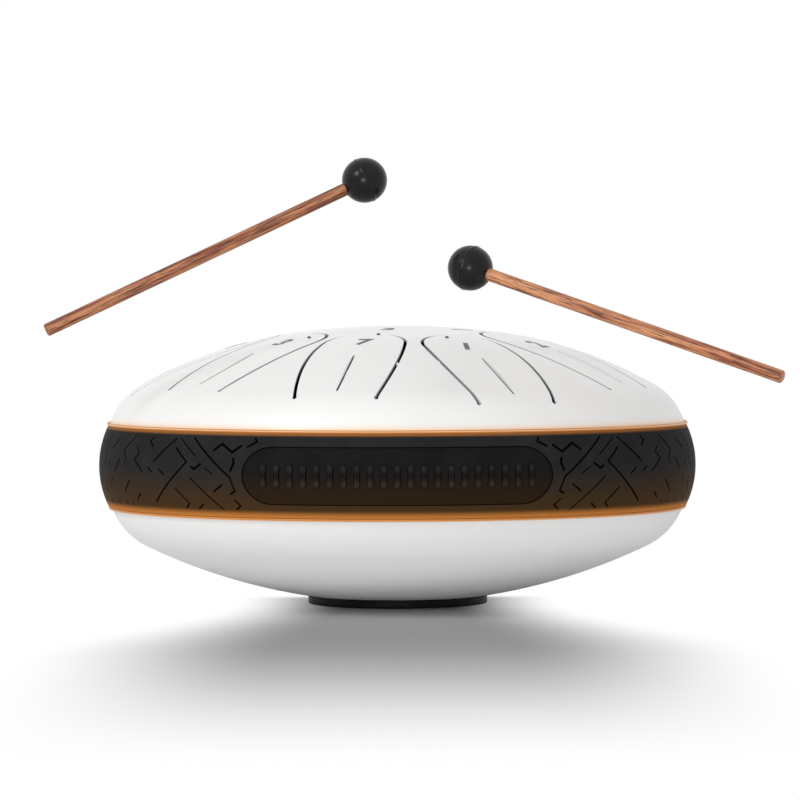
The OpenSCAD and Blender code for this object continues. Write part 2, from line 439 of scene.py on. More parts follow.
def row_tree() -> ShapeTree:
    """The tree that repeats a piece round Z, its copies an even step apart across the front.

    Returns:
        A tree with the inputs Count, Step and Radius.
    """
    tree = ShapeTree(
        "round_row", {"Count": "NodeSocketInt", "Step": "NodeSocketFloat", "Radius": "NodeSocketFloat"}
    )
    bench, count = tree.bench, tree.number("Count")
    across = (tree.index() - (count - 1) / 2) * tree.number("Step") / tree.number("Radius")
    inputs = {
        "Points": bench.out("GeometryNodePoints", {}, {"Count": count}),
        "Instance": tree.given("Geometry"),
        "Rotation": bench.combined(0.0, 0.0, across.arcsine()),
    }
    return tree.close(bench.out("GeometryNodeInstanceOnPoints", {}, inputs))


def dot_tree() -> ShapeTree:
    """The tree that puts a round raised dot on each point of a mesh, square to a line from a centre.

    Returns:
        A tree with the inputs Radius, Height and Centre Z.
    """
    tree = ShapeTree(
        "note_dots",
        {"Radius": "NodeSocketFloat", "Height": "NodeSocketFloat", "Centre Z": "NodeSocketFloat"},
    )
    bench = tree.bench
    ball = {"Segments": 20, "Rings": 12, "Radius": tree.given("Radius")}
    centre = bench.combined(0.0, 0.0, tree.number("Centre Z"))
    outward = bench.vectors("SUBTRACT", bench.out("GeometryNodeInputPosition"), centre)
    inputs = {
        "Points": tree.given("Geometry"),
        "Instance": bench.out("GeometryNodeMeshUVSphere", {}, ball, "Mesh"),
        "Rotation": bench.out("FunctionNodeAlignRotationToVector", {"axis": "Z"}, {"Vector": outward}),
        "Scale": bench.combined(1.0, 1.0, tree.number("Height") / tree.number("Radius")),
    }
    return tree.close(bench.out("GeometryNodeInstanceOnPoints", {}, inputs))


# Finishes


@dataclass(frozen=True)
class Paint:
    """What varies over a finish: its colour, its roughness, and the height of its relief from 0 to 1."""

    colour: bpy.types.NodeSocket
    rough: Value
    relief: Value | None = None


@dataclass(frozen=True)
class Finish:
    """A finish: its own name, and the record's slot that it belongs to.

    Its roughness starts at rough and goes up by swing at most. Its relief bends the light by a share, as
    far as a depth in metres does.
    """

    name: str
    slot: str | None
    rough: float = 0.5
    swing: float = 0.1
    gloss: float = 0.5
    coat: float = 0.0
    coat_rough: float = 0.03
    depth: float = 0.0
    relief: float = 0.0

    def material(self) -> bpy.types.Material:
        """Build the node material.

        Returns:
            The material.
        """
        made = bpy.data.materials.new(self.name)
        bench = PaintBench.clean(made)
        shader = bench.node("ShaderNodeBsdfPrincipled")
        bench.node("ShaderNodeOutputMaterial", {}, {"Surface": shader.outputs[0]})
        paint = self.paint(bench)
        bench.feed(shader.inputs["Base Color"], paint.colour)
        bench.feed(shader.inputs["Roughness"], paint.rough)
        shader.inputs["Specular IOR Level"].default_value = self.gloss
        shader.inputs["Coat Weight"].default_value = self.coat
        shader.inputs["Coat Roughness"].default_value = self.coat_rough
        if paint.relief is not None:
            bench.feed(shader.inputs["Normal"], bench.bump(paint.relief, self.depth, self.relief))
        return made

    def swung(self, share: Value) -> Value:
        """The roughness where a share from 0 to 1 of the swing is taken."""
        return share * self.swing + self.rough

    def paint(self, bench: PaintBench) -> Paint:
        """Work out what varies over the finish.

        Args:
            bench: The material's bench.

        Returns:
            The paint.
        """
        raise NotImplementedError


@dataclass(frozen=True)
class Enamel(Finish):
    """Warm white stoved enamel with a fine orange peel, and a painted amber glow next to the beads.

    The painted glow starts glow_reach beyond the height of either bead, and is full glow_under inside it.
    """

    rough: float = 0.36
    swing: float = 0.08
    gloss: float = 0.35
    coat: float = 0.2
    coat_rough: float = 0.2
    depth: float = 0.00002
    relief: float = 0.3
    white: Colour = (0.86, 0.857, 0.848)
    shade: Colour = (0.82, 0.817, 0.808)
    clouds: tuple[float, float] = (0.3, 0.75)
    cloud_scale: float = 9.0
    haze_scale: float = 60.0
    peel_scale: float = 650.0
    glow: Colour = (0.95, 0.60, 0.30)
    glow_most: float = 0.8
    glow_reach: float = 5.5
    glow_under: float = 0.5

    def paint(self, bench: PaintBench) -> Paint:
        """Work out what varies over the enamel.

        Args:
            bench: The material's bench.

        Returns:
            The paint.
        """
        here = bench.place()
        cloud = bench.noise(here, self.cloud_scale, detail=3.0)
        colour = bench.blend(cloud.ramp(*self.clouds), self.white, self.shade)
        # Painted glow: an amber tint, placed by height next to either bead, stands in for the beads' light on
        # the enamel
        upper, lower = UPPER_BEAD[1], LOWER_BEAD[1]
        gap = abs(bench.axes(here)[2] - (upper + lower) / 2 * MM)
        edge = (upper - lower) / 2
        near = gap.ramp((edge + self.glow_reach) * MM, (edge - self.glow_under) * MM)
        colour = bench.blend(near * near * self.glow_most, colour, self.glow)
        haze, peel = bench.noise(here, self.haze_scale), bench.noise(here, self.peel_scale)
        return Paint(colour, self.swung(haze), peel)


@dataclass(frozen=True)
class PrimerAndShade(Finish):
    """Dark grey primer on the hidden side of the steel, kept this dark partly as painted shade seen through
    the cuts and the port. Given paler greys, it is the painted shade on the cuts' walls.
    """

    swing: float = 0.2
    depth: float = 0.00004
    relief: float = 0.4
    grey: Colour = (0.030, 0.030, 0.031)
    pale: Colour = (0.055, 0.054, 0.052)
    clouds: tuple[float, float] = (0.35, 0.75)
    cloud_scale: float = 45.0

    def paint(self, bench: PaintBench) -> Paint:
        """Work out what varies over the primer.

        Args:
            bench: The material's bench.

        Returns:
            The paint.
        """
        cloud = bench.noise(bench.place(), self.cloud_scale, detail=4.0, rough=0.6)
        return Paint(bench.blend(cloud.ramp(*self.clouds), self.grey, self.pale), self.swung(cloud), cloud)


@dataclass(frozen=True)
class BandFace:
    """The arched outer face of the rim band."""

    belly_r: float = 152.5
    height: float = 41.0
    crown: float = 4.7
    middle_z: float = 71.0

    @property
    def around(self) -> float:
        """Length round the belly."""
        return 2 * math.pi * self.belly_r

    @property
    def arch_r(self) -> float:
        """Radius of the arch."""
        return ((self.height / 2) ** 2 + self.crown**2) / (2 * self.crown)

    @property
    def arch_at(self) -> float:
        """Distance of the arch's middle from the drum's axis."""
        return self.belly_r - self.arch_r


@dataclass(frozen=True)
class BandRubber(Finish):
    """Black moulded rubber with painted shade in its grooves, and a painted glow that makes it browner
    towards its lower edge and amber at both edges.

    The grooves and the panel's floor are told by their depth in millimetres. The spans of the painted glow
    are shares of the band's height, from where a colour starts to where it is full.
    """

    rough: float = 0.42
    swing: float = 0.14
    gloss: float = 0.006
    depth: float = 0.00003
    relief: float = 0.45
    face: BandFace = BandFace()
    black: Colour = (0.018, 0.018, 0.019)
    worn: Colour = (0.028, 0.028, 0.029)
    wear: tuple[float, float] = (0.35, 0.75)
    wear_most: float = 0.6
    wear_scale: float = 70.0
    glow_brown: Colour = (0.055, 0.029, 0.011)
    glow_brown_span: tuple[float, float] = (0.66, 0.06)
    glow_brown_waver: float = 0.06
    groove_shade: Colour = (0.001, 0.0009, 0.0008)
    groove_shade_most: float = 0.95
    pit_rough: float = 0.4
    groove: tuple[float, float] = (0.05, 0.3)
    panel: tuple[float, float] = (0.72, 0.78)
    panel_lighter: float = 0.5
    amber: Colour = (0.50, 0.185, 0.040)
    glow_below: tuple[float, float] = (0.10, 0.0)
    glow_above: tuple[float, float] = (0.955, 1.0)
    glow_above_most: float = 0.7
    grain_scale: float = 900.0

    def sunk(self, x: Value, y: Value, up: Value, span: tuple[float, float]) -> Value:
        """Tell the places that lie deep under the arched face.

        Args:
            x: A place's coordinate along X, in metres.
            y: Its coordinate along Y.
            up: Its height over the band's middle.
            span: The depths, in millimetres, where the step starts and where it is full.

        Returns:
            The soft step from 0 to 1.
        """
        arch_r, arch_at = self.face.arch_r * MM, self.face.arch_at * MM
        deep = (arch_r * arch_r - up * up) ** 0.5 + arch_at - (x * x + y * y) ** 0.5
        return deep.ramp(span[0] * MM, span[1] * MM)

    def paint(self, bench: PaintBench) -> Paint:
        """Work out what varies over the rubber.

        Args:
            bench: The material's bench.

        Returns:
            The paint.
        """
        here = bench.place()
        x, y, z = bench.axes(here)
        up = z - self.face.middle_z * MM
        share = up / (self.face.height * MM) + 0.5
        wear = bench.noise(here, self.wear_scale, detail=4.0, rough=0.6)
        colour = bench.blend(wear.ramp(*self.wear) * self.wear_most, self.black, self.worn)
        # Painted glow: the rubber turns browner towards its lower edge
        glow_brown = (share + wear * self.glow_brown_waver).ramp(*self.glow_brown_span)
        colour = bench.blend(glow_brown, colour, self.glow_brown)
        panel = self.sunk(x, y, up, self.panel)
        # Painted shade: the grooves are darkened by their depth, less so on the panel's floor
        groove_shade = self.sunk(x, y, up, self.groove) * (1 - panel * self.panel_lighter)
        colour = bench.blend(groove_shade * self.groove_shade_most, colour, self.groove_shade)
        # Painted glow: amber along both edges of the band
        colour = bench.blend(share.ramp(*self.glow_below), colour, self.amber)
        colour = bench.blend(share.ramp(*self.glow_above) * self.glow_above_most, colour, self.amber)
        grain = bench.noise(here, self.grain_scale, detail=3.0)
        return Paint(colour, self.swung(wear) + groove_shade * self.pit_rough, grain)


@dataclass(frozen=True)
class Amber(Finish):
    """Amber of the thin beads, with a painted highlight along their crest."""

    rough: float = 0.34
    gloss: float = 0.3
    amber: Colour = (0.55, 0.205, 0.045)
    crest: Colour = (0.95, 0.66, 0.40)
    highlight_most: float = 0.85
    highlight_z: float = 92.5
    highlight_reach: float = 0.3
    honey: Colour = (0.80, 0.40, 0.14)
    honey_most: float = 0.2
    streak: tuple[float, float, float] = (1.0, 1.0, 0.2)
    streak_scale: float = 120.0

    def paint(self, bench: PaintBench) -> Paint:
        """Work out what varies over the amber.

        Args:
            bench: The material's bench.

        Returns:
            The paint.
        """
        here = bench.place()
        # Painted highlight: a pale band along each bead's crest
        crest = abs(bench.axes(here)[2] - self.highlight_z * MM).ramp(self.highlight_reach * MM, 0.0)
        streak = bench.noise(bench.stretched(here, self.streak), self.streak_scale)
        colour = bench.blend(crest * self.highlight_most, self.amber, self.crest)
        return Paint(bench.blend(streak * self.honey_most, colour, self.honey), self.swung(streak))


@dataclass(frozen=True)
class PlainRubber(Finish):
    """Plain black rubber with a fine mould grain."""

    rough: float = 0.44
    swing: float = 0.12
    gloss: float = 0.1
    depth: float = 0.00002
    relief: float = 0.5
    black: Colour = (0.0035, 0.0035, 0.0035)
    worn: Colour = (0.009, 0.0088, 0.0085)
    wear: tuple[float, float] = (0.4, 0.8)
    wear_scale: float = 80.0
    grain_scale: float = 900.0

    def paint(self, bench: PaintBench) -> Paint:
        """Work out what varies over the rubber.

        Args:
            bench: The material's bench.

        Returns:
            The paint.
        """
        here = bench.place()
        wear = bench.noise(here, self.wear_scale, detail=4.0, rough=0.6)
        colour = bench.blend(wear.ramp(*self.wear), self.black, self.worn)
        return Paint(colour, self.swung(wear), bench.noise(here, self.grain_scale))


@dataclass(frozen=True)
class Lacquered(Finish):
    """Lacquered reddish hardwood, its grain running along the stick.

    The turn is the matrix that puts the stick, drawn along Z, in its place. A stick's light says how
    much paler its wood is, and its seed moves the grain along. Each of the three noises has its scale
    and how far it is drawn out along the stick, as a share.
    """

    rough: float = 0.36
    swing: float = 0.12
    gloss: float = 0.3
    coat: float = 0.12
    coat_rough: float = 0.25
    depth: float = 0.00004
    relief: float = 0.5
    turn: Matrix = field(default_factory=Matrix)
    light: float = 0.0
    light_spread: float = 0.3
    seed: float = 0.0
    red: Colour = (0.245, 0.064, 0.027)
    pale: Colour = (0.54, 0.235, 0.110)
    dark: Colour = (0.060, 0.014, 0.007)
    wide: tuple[float, float] = (330.0, 0.05)
    wide_span: tuple[float, float] = (0.42, 0.64)
    fine: tuple[float, float] = (1100.0, 0.03)
    fine_pale: tuple[float, float] = (0.47, 0.62)
    fine_dark: tuple[float, float] = (0.50, 0.38)
    pore: tuple[float, float] = (1900.0, 0.045)
    pore_span: tuple[float, float] = (0.53, 0.62)
    pale_most: float = 0.8
    dark_most: float = 0.6

    def paint(self, bench: PaintBench) -> Paint:
        """Work out what varies over the wood.

        Args:
            bench: The material's bench.

        Returns:
            The paint.
        """
        moved = bench.vectors("ADD", bench.place(self.turn), (self.seed, self.seed, self.seed))
        wide, fine, pores = (
            bench.noise(bench.stretched(moved, (1.0, 1.0, drawn)), scale, detail, rough)
            for (scale, drawn), detail, rough in (
                (self.wide, 3.0, 0.6), (self.fine, 3.0, 0.65), (self.pore, 2.0, 0.5)
            )
        )
        red, pale = (tuple(part * (1 + self.light) for part in colour) for colour in (self.red, self.pale))
        colour = bench.blend((wide + self.light * self.light_spread).ramp(*self.wide_span), red, pale)
        colour = bench.blend(fine.ramp(*self.fine_pale) * self.pale_most, colour, pale)
        colour = bench.blend(fine.ramp(*self.fine_dark) * self.dark_most, colour, self.dark)
        colour = bench.blend(pores.ramp(*self.pore_span) * self.pale_most, colour, self.dark)
        return Paint(colour, self.swung(fine), pores)


@dataclass(frozen=True)
class Print(Finish):
    """Dark grey stoved print of the numerals."""

    rough: float = 0.42
    ink: Colour = (0.060, 0.059, 0.058)
    faded: Colour = (0.115, 0.112, 0.110)
    fade: tuple[float, float] = (0.35, 0.8)
    fade_scale: float = 500.0

    def paint(self, bench: PaintBench) -> Paint:
        """Work out what varies over the print.

        Args:
            bench: The material's bench.

        Returns:
            The paint.
        """
        cloud = bench.noise(bench.place(), self.fade_scale, detail=3.0)
        return Paint(bench.blend(cloud.ramp(*self.fade), self.ink, self.faded), self.swung(cloud))


# Meshes


def linked(name: str, data: bpy.types.ID) -> bpy.types.Object:
    """Put a new object in the scene.

    Args:
        name: The object's name.
        data: The mesh, curve, camera or light that it shows.

    Returns:
        The object.
    """
    made = bpy.data.objects.new(name, data)
    bpy.context.scene.collection.objects.link(made)
    return made


def place_piece(name: str, body: str, finish: Finish, piece: bpy.types.Object, *stands_for: str) -> None:
    """Make a finished piece ride on its body and say so.

    Args:
        name: The piece's name.
        body: The body that it rides on.
        finish: Its finish. It is not used.
        piece: The object.
        stands_for: The CAD nodes that it replaces.
    """
    piece.name = name
    piece.data.name = name
    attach(piece, body)
    if stands_for:
        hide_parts(*stands_for)
    log.info("%s: %d faces on %s", name, len(piece.data.polygons), body)


def object_of(
    name: str,
    points: Iterable[Sequence[float]],
    faces: Iterable[Sequence[int]],
    finish: bpy.types.Material | None = None,
) -> bpy.types.Object:
    """Make a new object from points and faces.

    Args:
        name: The object's name.
        points: Its points in millimetres.
        faces: Its faces, or none for a row of points.
        finish: Its material.

    Returns:
        The object, in the scene.
    """
    mesh = bpy.data.meshes.new(name)
    corners = [[int(corner) for corner in face] for face in faces]
    mesh.from_pydata((np.asarray(points, float) * MM).tolist(), [], corners)
    if finish is not None:
        mesh.materials.append(finish)
    return linked(name, mesh)


def facing_out(piece: bpy.types.Object) -> bpy.types.Object:
    """Turn a closed piece's faces outwards if its volume comes out negative.

    Args:
        piece: The closed piece.

    Returns:
        The same object.
    """
    shape = bmesh.new()
    shape.from_mesh(piece.data)
    if shape.calc_volume(signed=True) < 0:
        piece.data.flip_normals()
    shape.free()
    return piece


def turn_of(bearing: float) -> np.ndarray:
    """The matrix that turns rows of points in plan anticlockwise when they are multiplied by it."""
    angle = math.radians(bearing)
    return np.array(((math.cos(angle), math.sin(angle)), (-math.sin(angle), math.cos(angle))))


def arc(centre: tuple[float, float], radius: float, start: float, end: float, steps: int) -> np.ndarray:
    """Points on an arc, both ends included.

    Args:
        centre: Its middle.
        radius: Its radius.
        start: The angle of its first point.
        end: The angle of its last point.
        steps: Steps from the first point to the last.

    Returns:
        The points.
    """
    turn = np.radians(np.linspace(start, end, steps + 1))
    return np.column_stack((centre[0] + radius * np.cos(turn), centre[1] + radius * np.sin(turn)))


def ring_points(profile: np.ndarray, turn: np.ndarray) -> list[np.ndarray]:
    """Points of rings round Z.

    Args:
        profile: Radius and height of each ring.
        turn: The angle of each point of a ring, in radians.

    Returns:
        The points of each ring.
    """
    return [np.column_stack((r * np.cos(turn), r * np.sin(turn), np.full(len(turn), z))) for r, z in profile]


def ring_faces(one: Sequence[int], other: Sequence[int]) -> list[tuple[int, ...]]:
    """Faces between two closed rings.

    Args:
        one: The numbers of the first ring's points.
        other: Those of the second ring's points.

    Returns:
        The faces, each from a point of the first ring over to the second and back.
    """
    count = len(one)
    ahead = [(i + 1) % count for i in range(count)]
    return [(one[i], other[i], other[ahead[i]], one[ahead[i]]) for i in range(count)]


def turned(
    name: str,
    profile: np.ndarray,
    finish: bpy.types.Material,
    tree: ShapeTree,
    segments: int,
    crease: float,
    turn: Matrix | None = None,
) -> bpy.types.Object:
    """Turn a piece round Z from a profile.

    Args:
        name: The piece's name.
        profile: Radius and height of each point in millimetres, with the first repeated at the end of
            a closed profile.
        finish: The piece's material.
        tree: The turning tree.
        segments: Steps round the axis.
        crease: The angle, in degrees, past which an edge stays sharp.
        turn: Where the piece goes, in metres, if it isn't turned in place.

    Returns:
        The piece, closed and facing outwards.
    """
    points = np.column_stack((profile[:, 0], np.zeros(len(profile)), profile[:, 1]))
    piece = object_of(name, points, [])
    tree.apply(piece, Segments=segments, Weld=WELD * MM, Crease=math.radians(crease), Finish=finish)
    facing_out(piece)
    if turn is not None:
        piece.data.transform(turn)
    return piece


def finer(path: np.ndarray, step: float) -> np.ndarray:
    """Put more points into a path.

    Args:
        path: The path's points.
        step: The longest way from one point to the next.

    Returns:
        The points of the same path.
    """
    runs = [path[:1]]
    for start, end in zip(path, path[1:]):
        parts = max(1, math.ceil(math.dist(start, end) / step))
        runs.append(start + (end - start) * (np.arange(1, parts + 1) / parts)[:, None])
    return np.vstack(runs)


def stroke(path: np.ndarray, half: float, cap: float, cap_steps: int) -> np.ndarray:
    """The outline of a stroke of even width with round ends.

    Args:
        path: The points of its middle line.
        half: Half of its width.
        cap: The radius of its ends, at least half.
        cap_steps: Steps in each end.

    Returns:
        The outline's points, anticlockwise.
    """
    ahead = np.diff(path, axis=0)
    ahead /= np.linalg.norm(ahead, axis=1)[:, None]
    before, after = np.vstack((ahead[:1], ahead)), np.vstack((ahead, ahead[-1:]))
    middle = before + after
    middle /= np.linalg.norm(middle, axis=1)[:, None]
    side = np.column_stack((middle[:, 1], -middle[:, 0]))
    widen = half / np.clip((middle * before).sum(1), SHARPEST_BEND, 1)
    right, left = path + side * widen[:, None], path - side * widen[:, None]
    open_half = math.degrees(math.asin(min(1.0, half / cap)))
    ends = []
    for point, way in ((path[-1], ahead[-1]), (path[0], -ahead[0])):
        heading = math.degrees(math.atan2(way[1], way[0]))
        ends.append(arc(tuple(point), cap, heading - 180 + open_half, heading + 180 - open_half, cap_steps))
    return np.vstack((right[1:-1], ends[0], left[::-1][1:-1], ends[1]))


def within_reach(edges: np.ndarray, points: np.ndarray, reach: float) -> np.ndarray:
    """Find the points that lie close to others.

    Args:
        edges: The others.
        points: The points to look at.
        reach: How close a point has to lie.

    Returns:
        For each point, whether it lies within reach of any of the others.
    """
    tree = KDTree(len(edges))
    for i, (x, y) in enumerate(edges):
        tree.insert((x, y, 0), i)
    tree.balance()
    return np.array([tree.find((x, y, 0))[2] < reach for x, y in points])


@dataclass
class Outline:
    """A closed outline on a flat skin: how deep its points lie, and whether the skin is cut away in it."""

    points: np.ndarray
    drop: float
    cut: bool = False


@dataclass
class Skin:
    """A triangulated flat skin: points, their depth, triangles, and the input number of each point."""

    points: np.ndarray
    drop: np.ndarray
    faces: np.ndarray
    source: np.ndarray

    @classmethod
    def woven(cls, ground: np.ndarray, outlines: Sequence[Outline]) -> Skin:
        """Weave ground points and outlines into one skin.

        Args:
            ground: Points of the skin, with its convex border.
            outlines: Outlines that don't cross.

        Returns:
            The skin, without the faces that are cut away.
        """
        points = [Vector(point) for point in ground]
        drops, loops = [0.0] * len(points), []
        for outline in outlines:
            loops.append(list(range(len(points), len(points) + len(outline.points))))
            points += [Vector(point) for point in outline.points]
            drops += [outline.drop] * len(outline.points)
        out = delaunay_2d_cdt(points, [], loops, 0, SAME_POINT, True)
        where, faces, origin, within = out[0], out[2], out[3], out[5]
        source = np.array([numbers[-1] if numbers else -1 for numbers in origin])
        depth = np.array([drops[number] if number >= 0 else 0.0 for number in source])
        kept = [i for i, inside in enumerate(within) if not any(outlines[n].cut for n in inside)]
        for i in kept:
            floor = max((outlines[n].drop for n in within[i]), default=0.0)
            for corner in faces[i]:
                if 0 <= source[corner] < len(ground):
                    depth[corner] = max(depth[corner], floor)
        flat = np.array([tuple(point) for point in where])
        return cls(flat, depth, np.array([faces[i] for i in kept]), source)

    def even(self) -> np.ndarray:
        """For each corner of the triangles, whether its triangle lies at one depth."""
        return np.repeat(np.ptp(self.drop[self.faces], axis=1) < TINY, 3)


def give_normals(mesh: bpy.types.Mesh, crease: float, normals: np.ndarray) -> None:
    """Shade a mesh smoothly, with its sharp edges kept.

    Args:
        mesh: The mesh.
        crease: The angle past which an edge stays sharp.
        normals: A normal for each corner. Where it is zero, Blender works it out.
    """
    mesh.shade_smooth()
    mesh.set_sharp_from_angle(angle=math.radians(crease))
    mesh.normals_split_custom_set(normals.tolist())


# Bowls


@dataclass(frozen=True)
class Bend:
    """One arc of a bowl's outline: its radius, and the place of its middle over the flange face."""

    radius: float
    at: float
    mid: float


@dataclass
class BowlSection:
    """Outline of a pressed bowl over its flange face: a crown, a flank if it has one, and a shoulder.

    Each arc bites a little into the one before it, as they do in the CAD source.
    """

    depth: float = 70.9
    crown_r: float = 295.0
    shoulder_r: float = 35.0
    crown_at: float = 0.0
    flank_r: float = 0.0
    rim_r: float = 148.0
    sheet: float = 1.4
    flange: float = 2.6
    bite: float = 0.03
    step: float = 3.2
    bends: list[Bend] = field(init=False)

    def __post_init__(self) -> None:
        """Work out the middles of the arcs."""
        self.bends = [Bend(self.crown_r, 0.0, self.depth - self.crown_r)]
        if self.flank_r:
            self._bend(self.flank_r, self.crown_at * (1 - self.flank_r / self.crown_r))
        self._bend(self.shoulder_r, self.rim_r - self.shoulder_r)

    def _bend(self, radius: float, at: float) -> None:
        """Add an arc that runs on from the last one.

        Args:
            radius: Its radius.
            at: Distance of its middle from the axis.
        """
        last = self.bends[-1]
        rise = math.sqrt((last.radius - radius) ** 2 - (at - last.at) ** 2)
        self.bends.append(Bend(radius, at, last.mid + rise + self.bite))

    def meets(self, inset: float) -> list[float]:
        """The radii where one arc hands over to the next, on the face drawn inwards by inset."""
        return [a.at + (b.at - a.at) * (a.radius - inset) / (a.radius - b.radius)
                for a, b in zip(self.bends, self.bends[1:])]

    def height(self, r: np.ndarray, inset: float = 0.0) -> np.ndarray:
        """Height of the bowl's face.

        Args:
            r: The radii to take it at.
            inset: How far the face is drawn inwards.

        Returns:
            The height over the flange face at each radius.
        """
        arcs = [bend.mid + np.sqrt(np.clip((bend.radius - inset) ** 2 - (r - bend.at) ** 2, 0, None))
                for bend in self.bends]
        height = arcs[0]
        for meet, before, after in zip(self.meets(inset), arcs, arcs[1:]):
            height = np.where(r < meet, height, np.minimum(before, after))
        return height

    def lean(self, r: np.ndarray) -> np.ndarray:
        """How far the bowl's face leans outwards.

        Args:
            r: The radii to take it at.

        Returns:
            The outward part of the face's unit normal at each radius.
        """
        lean = r / self.crown_r
        for meet, bend in zip(self.meets(0.0), self.bends[1:]):
            lean = np.where(r < meet, lean, (r - bend.at) / bend.radius)
        return lean

    def meridian(self, start: float, inset: float, shoulder_steps: int = 20) -> np.ndarray:
        """Points of the face from a start radius down to where the wall is upright.

        Args:
            start: Radius of the first point.
            inset: How far the face is drawn inwards.
            shoulder_steps: Steps on the shoulder.

        Returns:
            Radius and height of each point.
        """
        rows, r = [], start
        for meet, bend, after in zip(self.meets(inset), self.bends, self.bends[1:]):
            if r < meet:
                run = np.linspace(r, meet, max(2, int((meet - r) / self.step)), endpoint=False)
                rows.append(np.column_stack((run, self.height(run, inset))))
                r = meet + math.sqrt(2 * self.bite / (1 / after.radius - 1 / bend.radius))
        last = self.bends[-1]
        first = math.degrees(math.acos((r - last.at) / (last.radius - inset)))
        rows.append(arc((last.at, last.mid), last.radius - inset, first, 0, shoulder_steps))
        return np.vstack(rows)

    def flange_corners(self) -> list[list[float]]:
        """Radius and height of the flange's corners, from the outer face to the inner one."""
        edge = self.rim_r + self.flange
        return [[self.rim_r, self.sheet], [edge, self.sheet], [edge, 0], [self.rim_r - self.sheet, 0]]

    def loop(self, start: float) -> np.ndarray:
        """The closed section of the sheet from a start radius to the flange and back."""
        outer, inner = self.meridian(start, 0), self.meridian(start, self.sheet)
        return np.vstack((outer, self.flange_corners(), inner[::-1], outer[:1]))


TOP_BOWL = BowlSection(depth=69.5, crown_r=397.0, crown_at=50.0, flank_r=222.0, shoulder_r=32.4)
LOWER_BOWL = BowlSection()


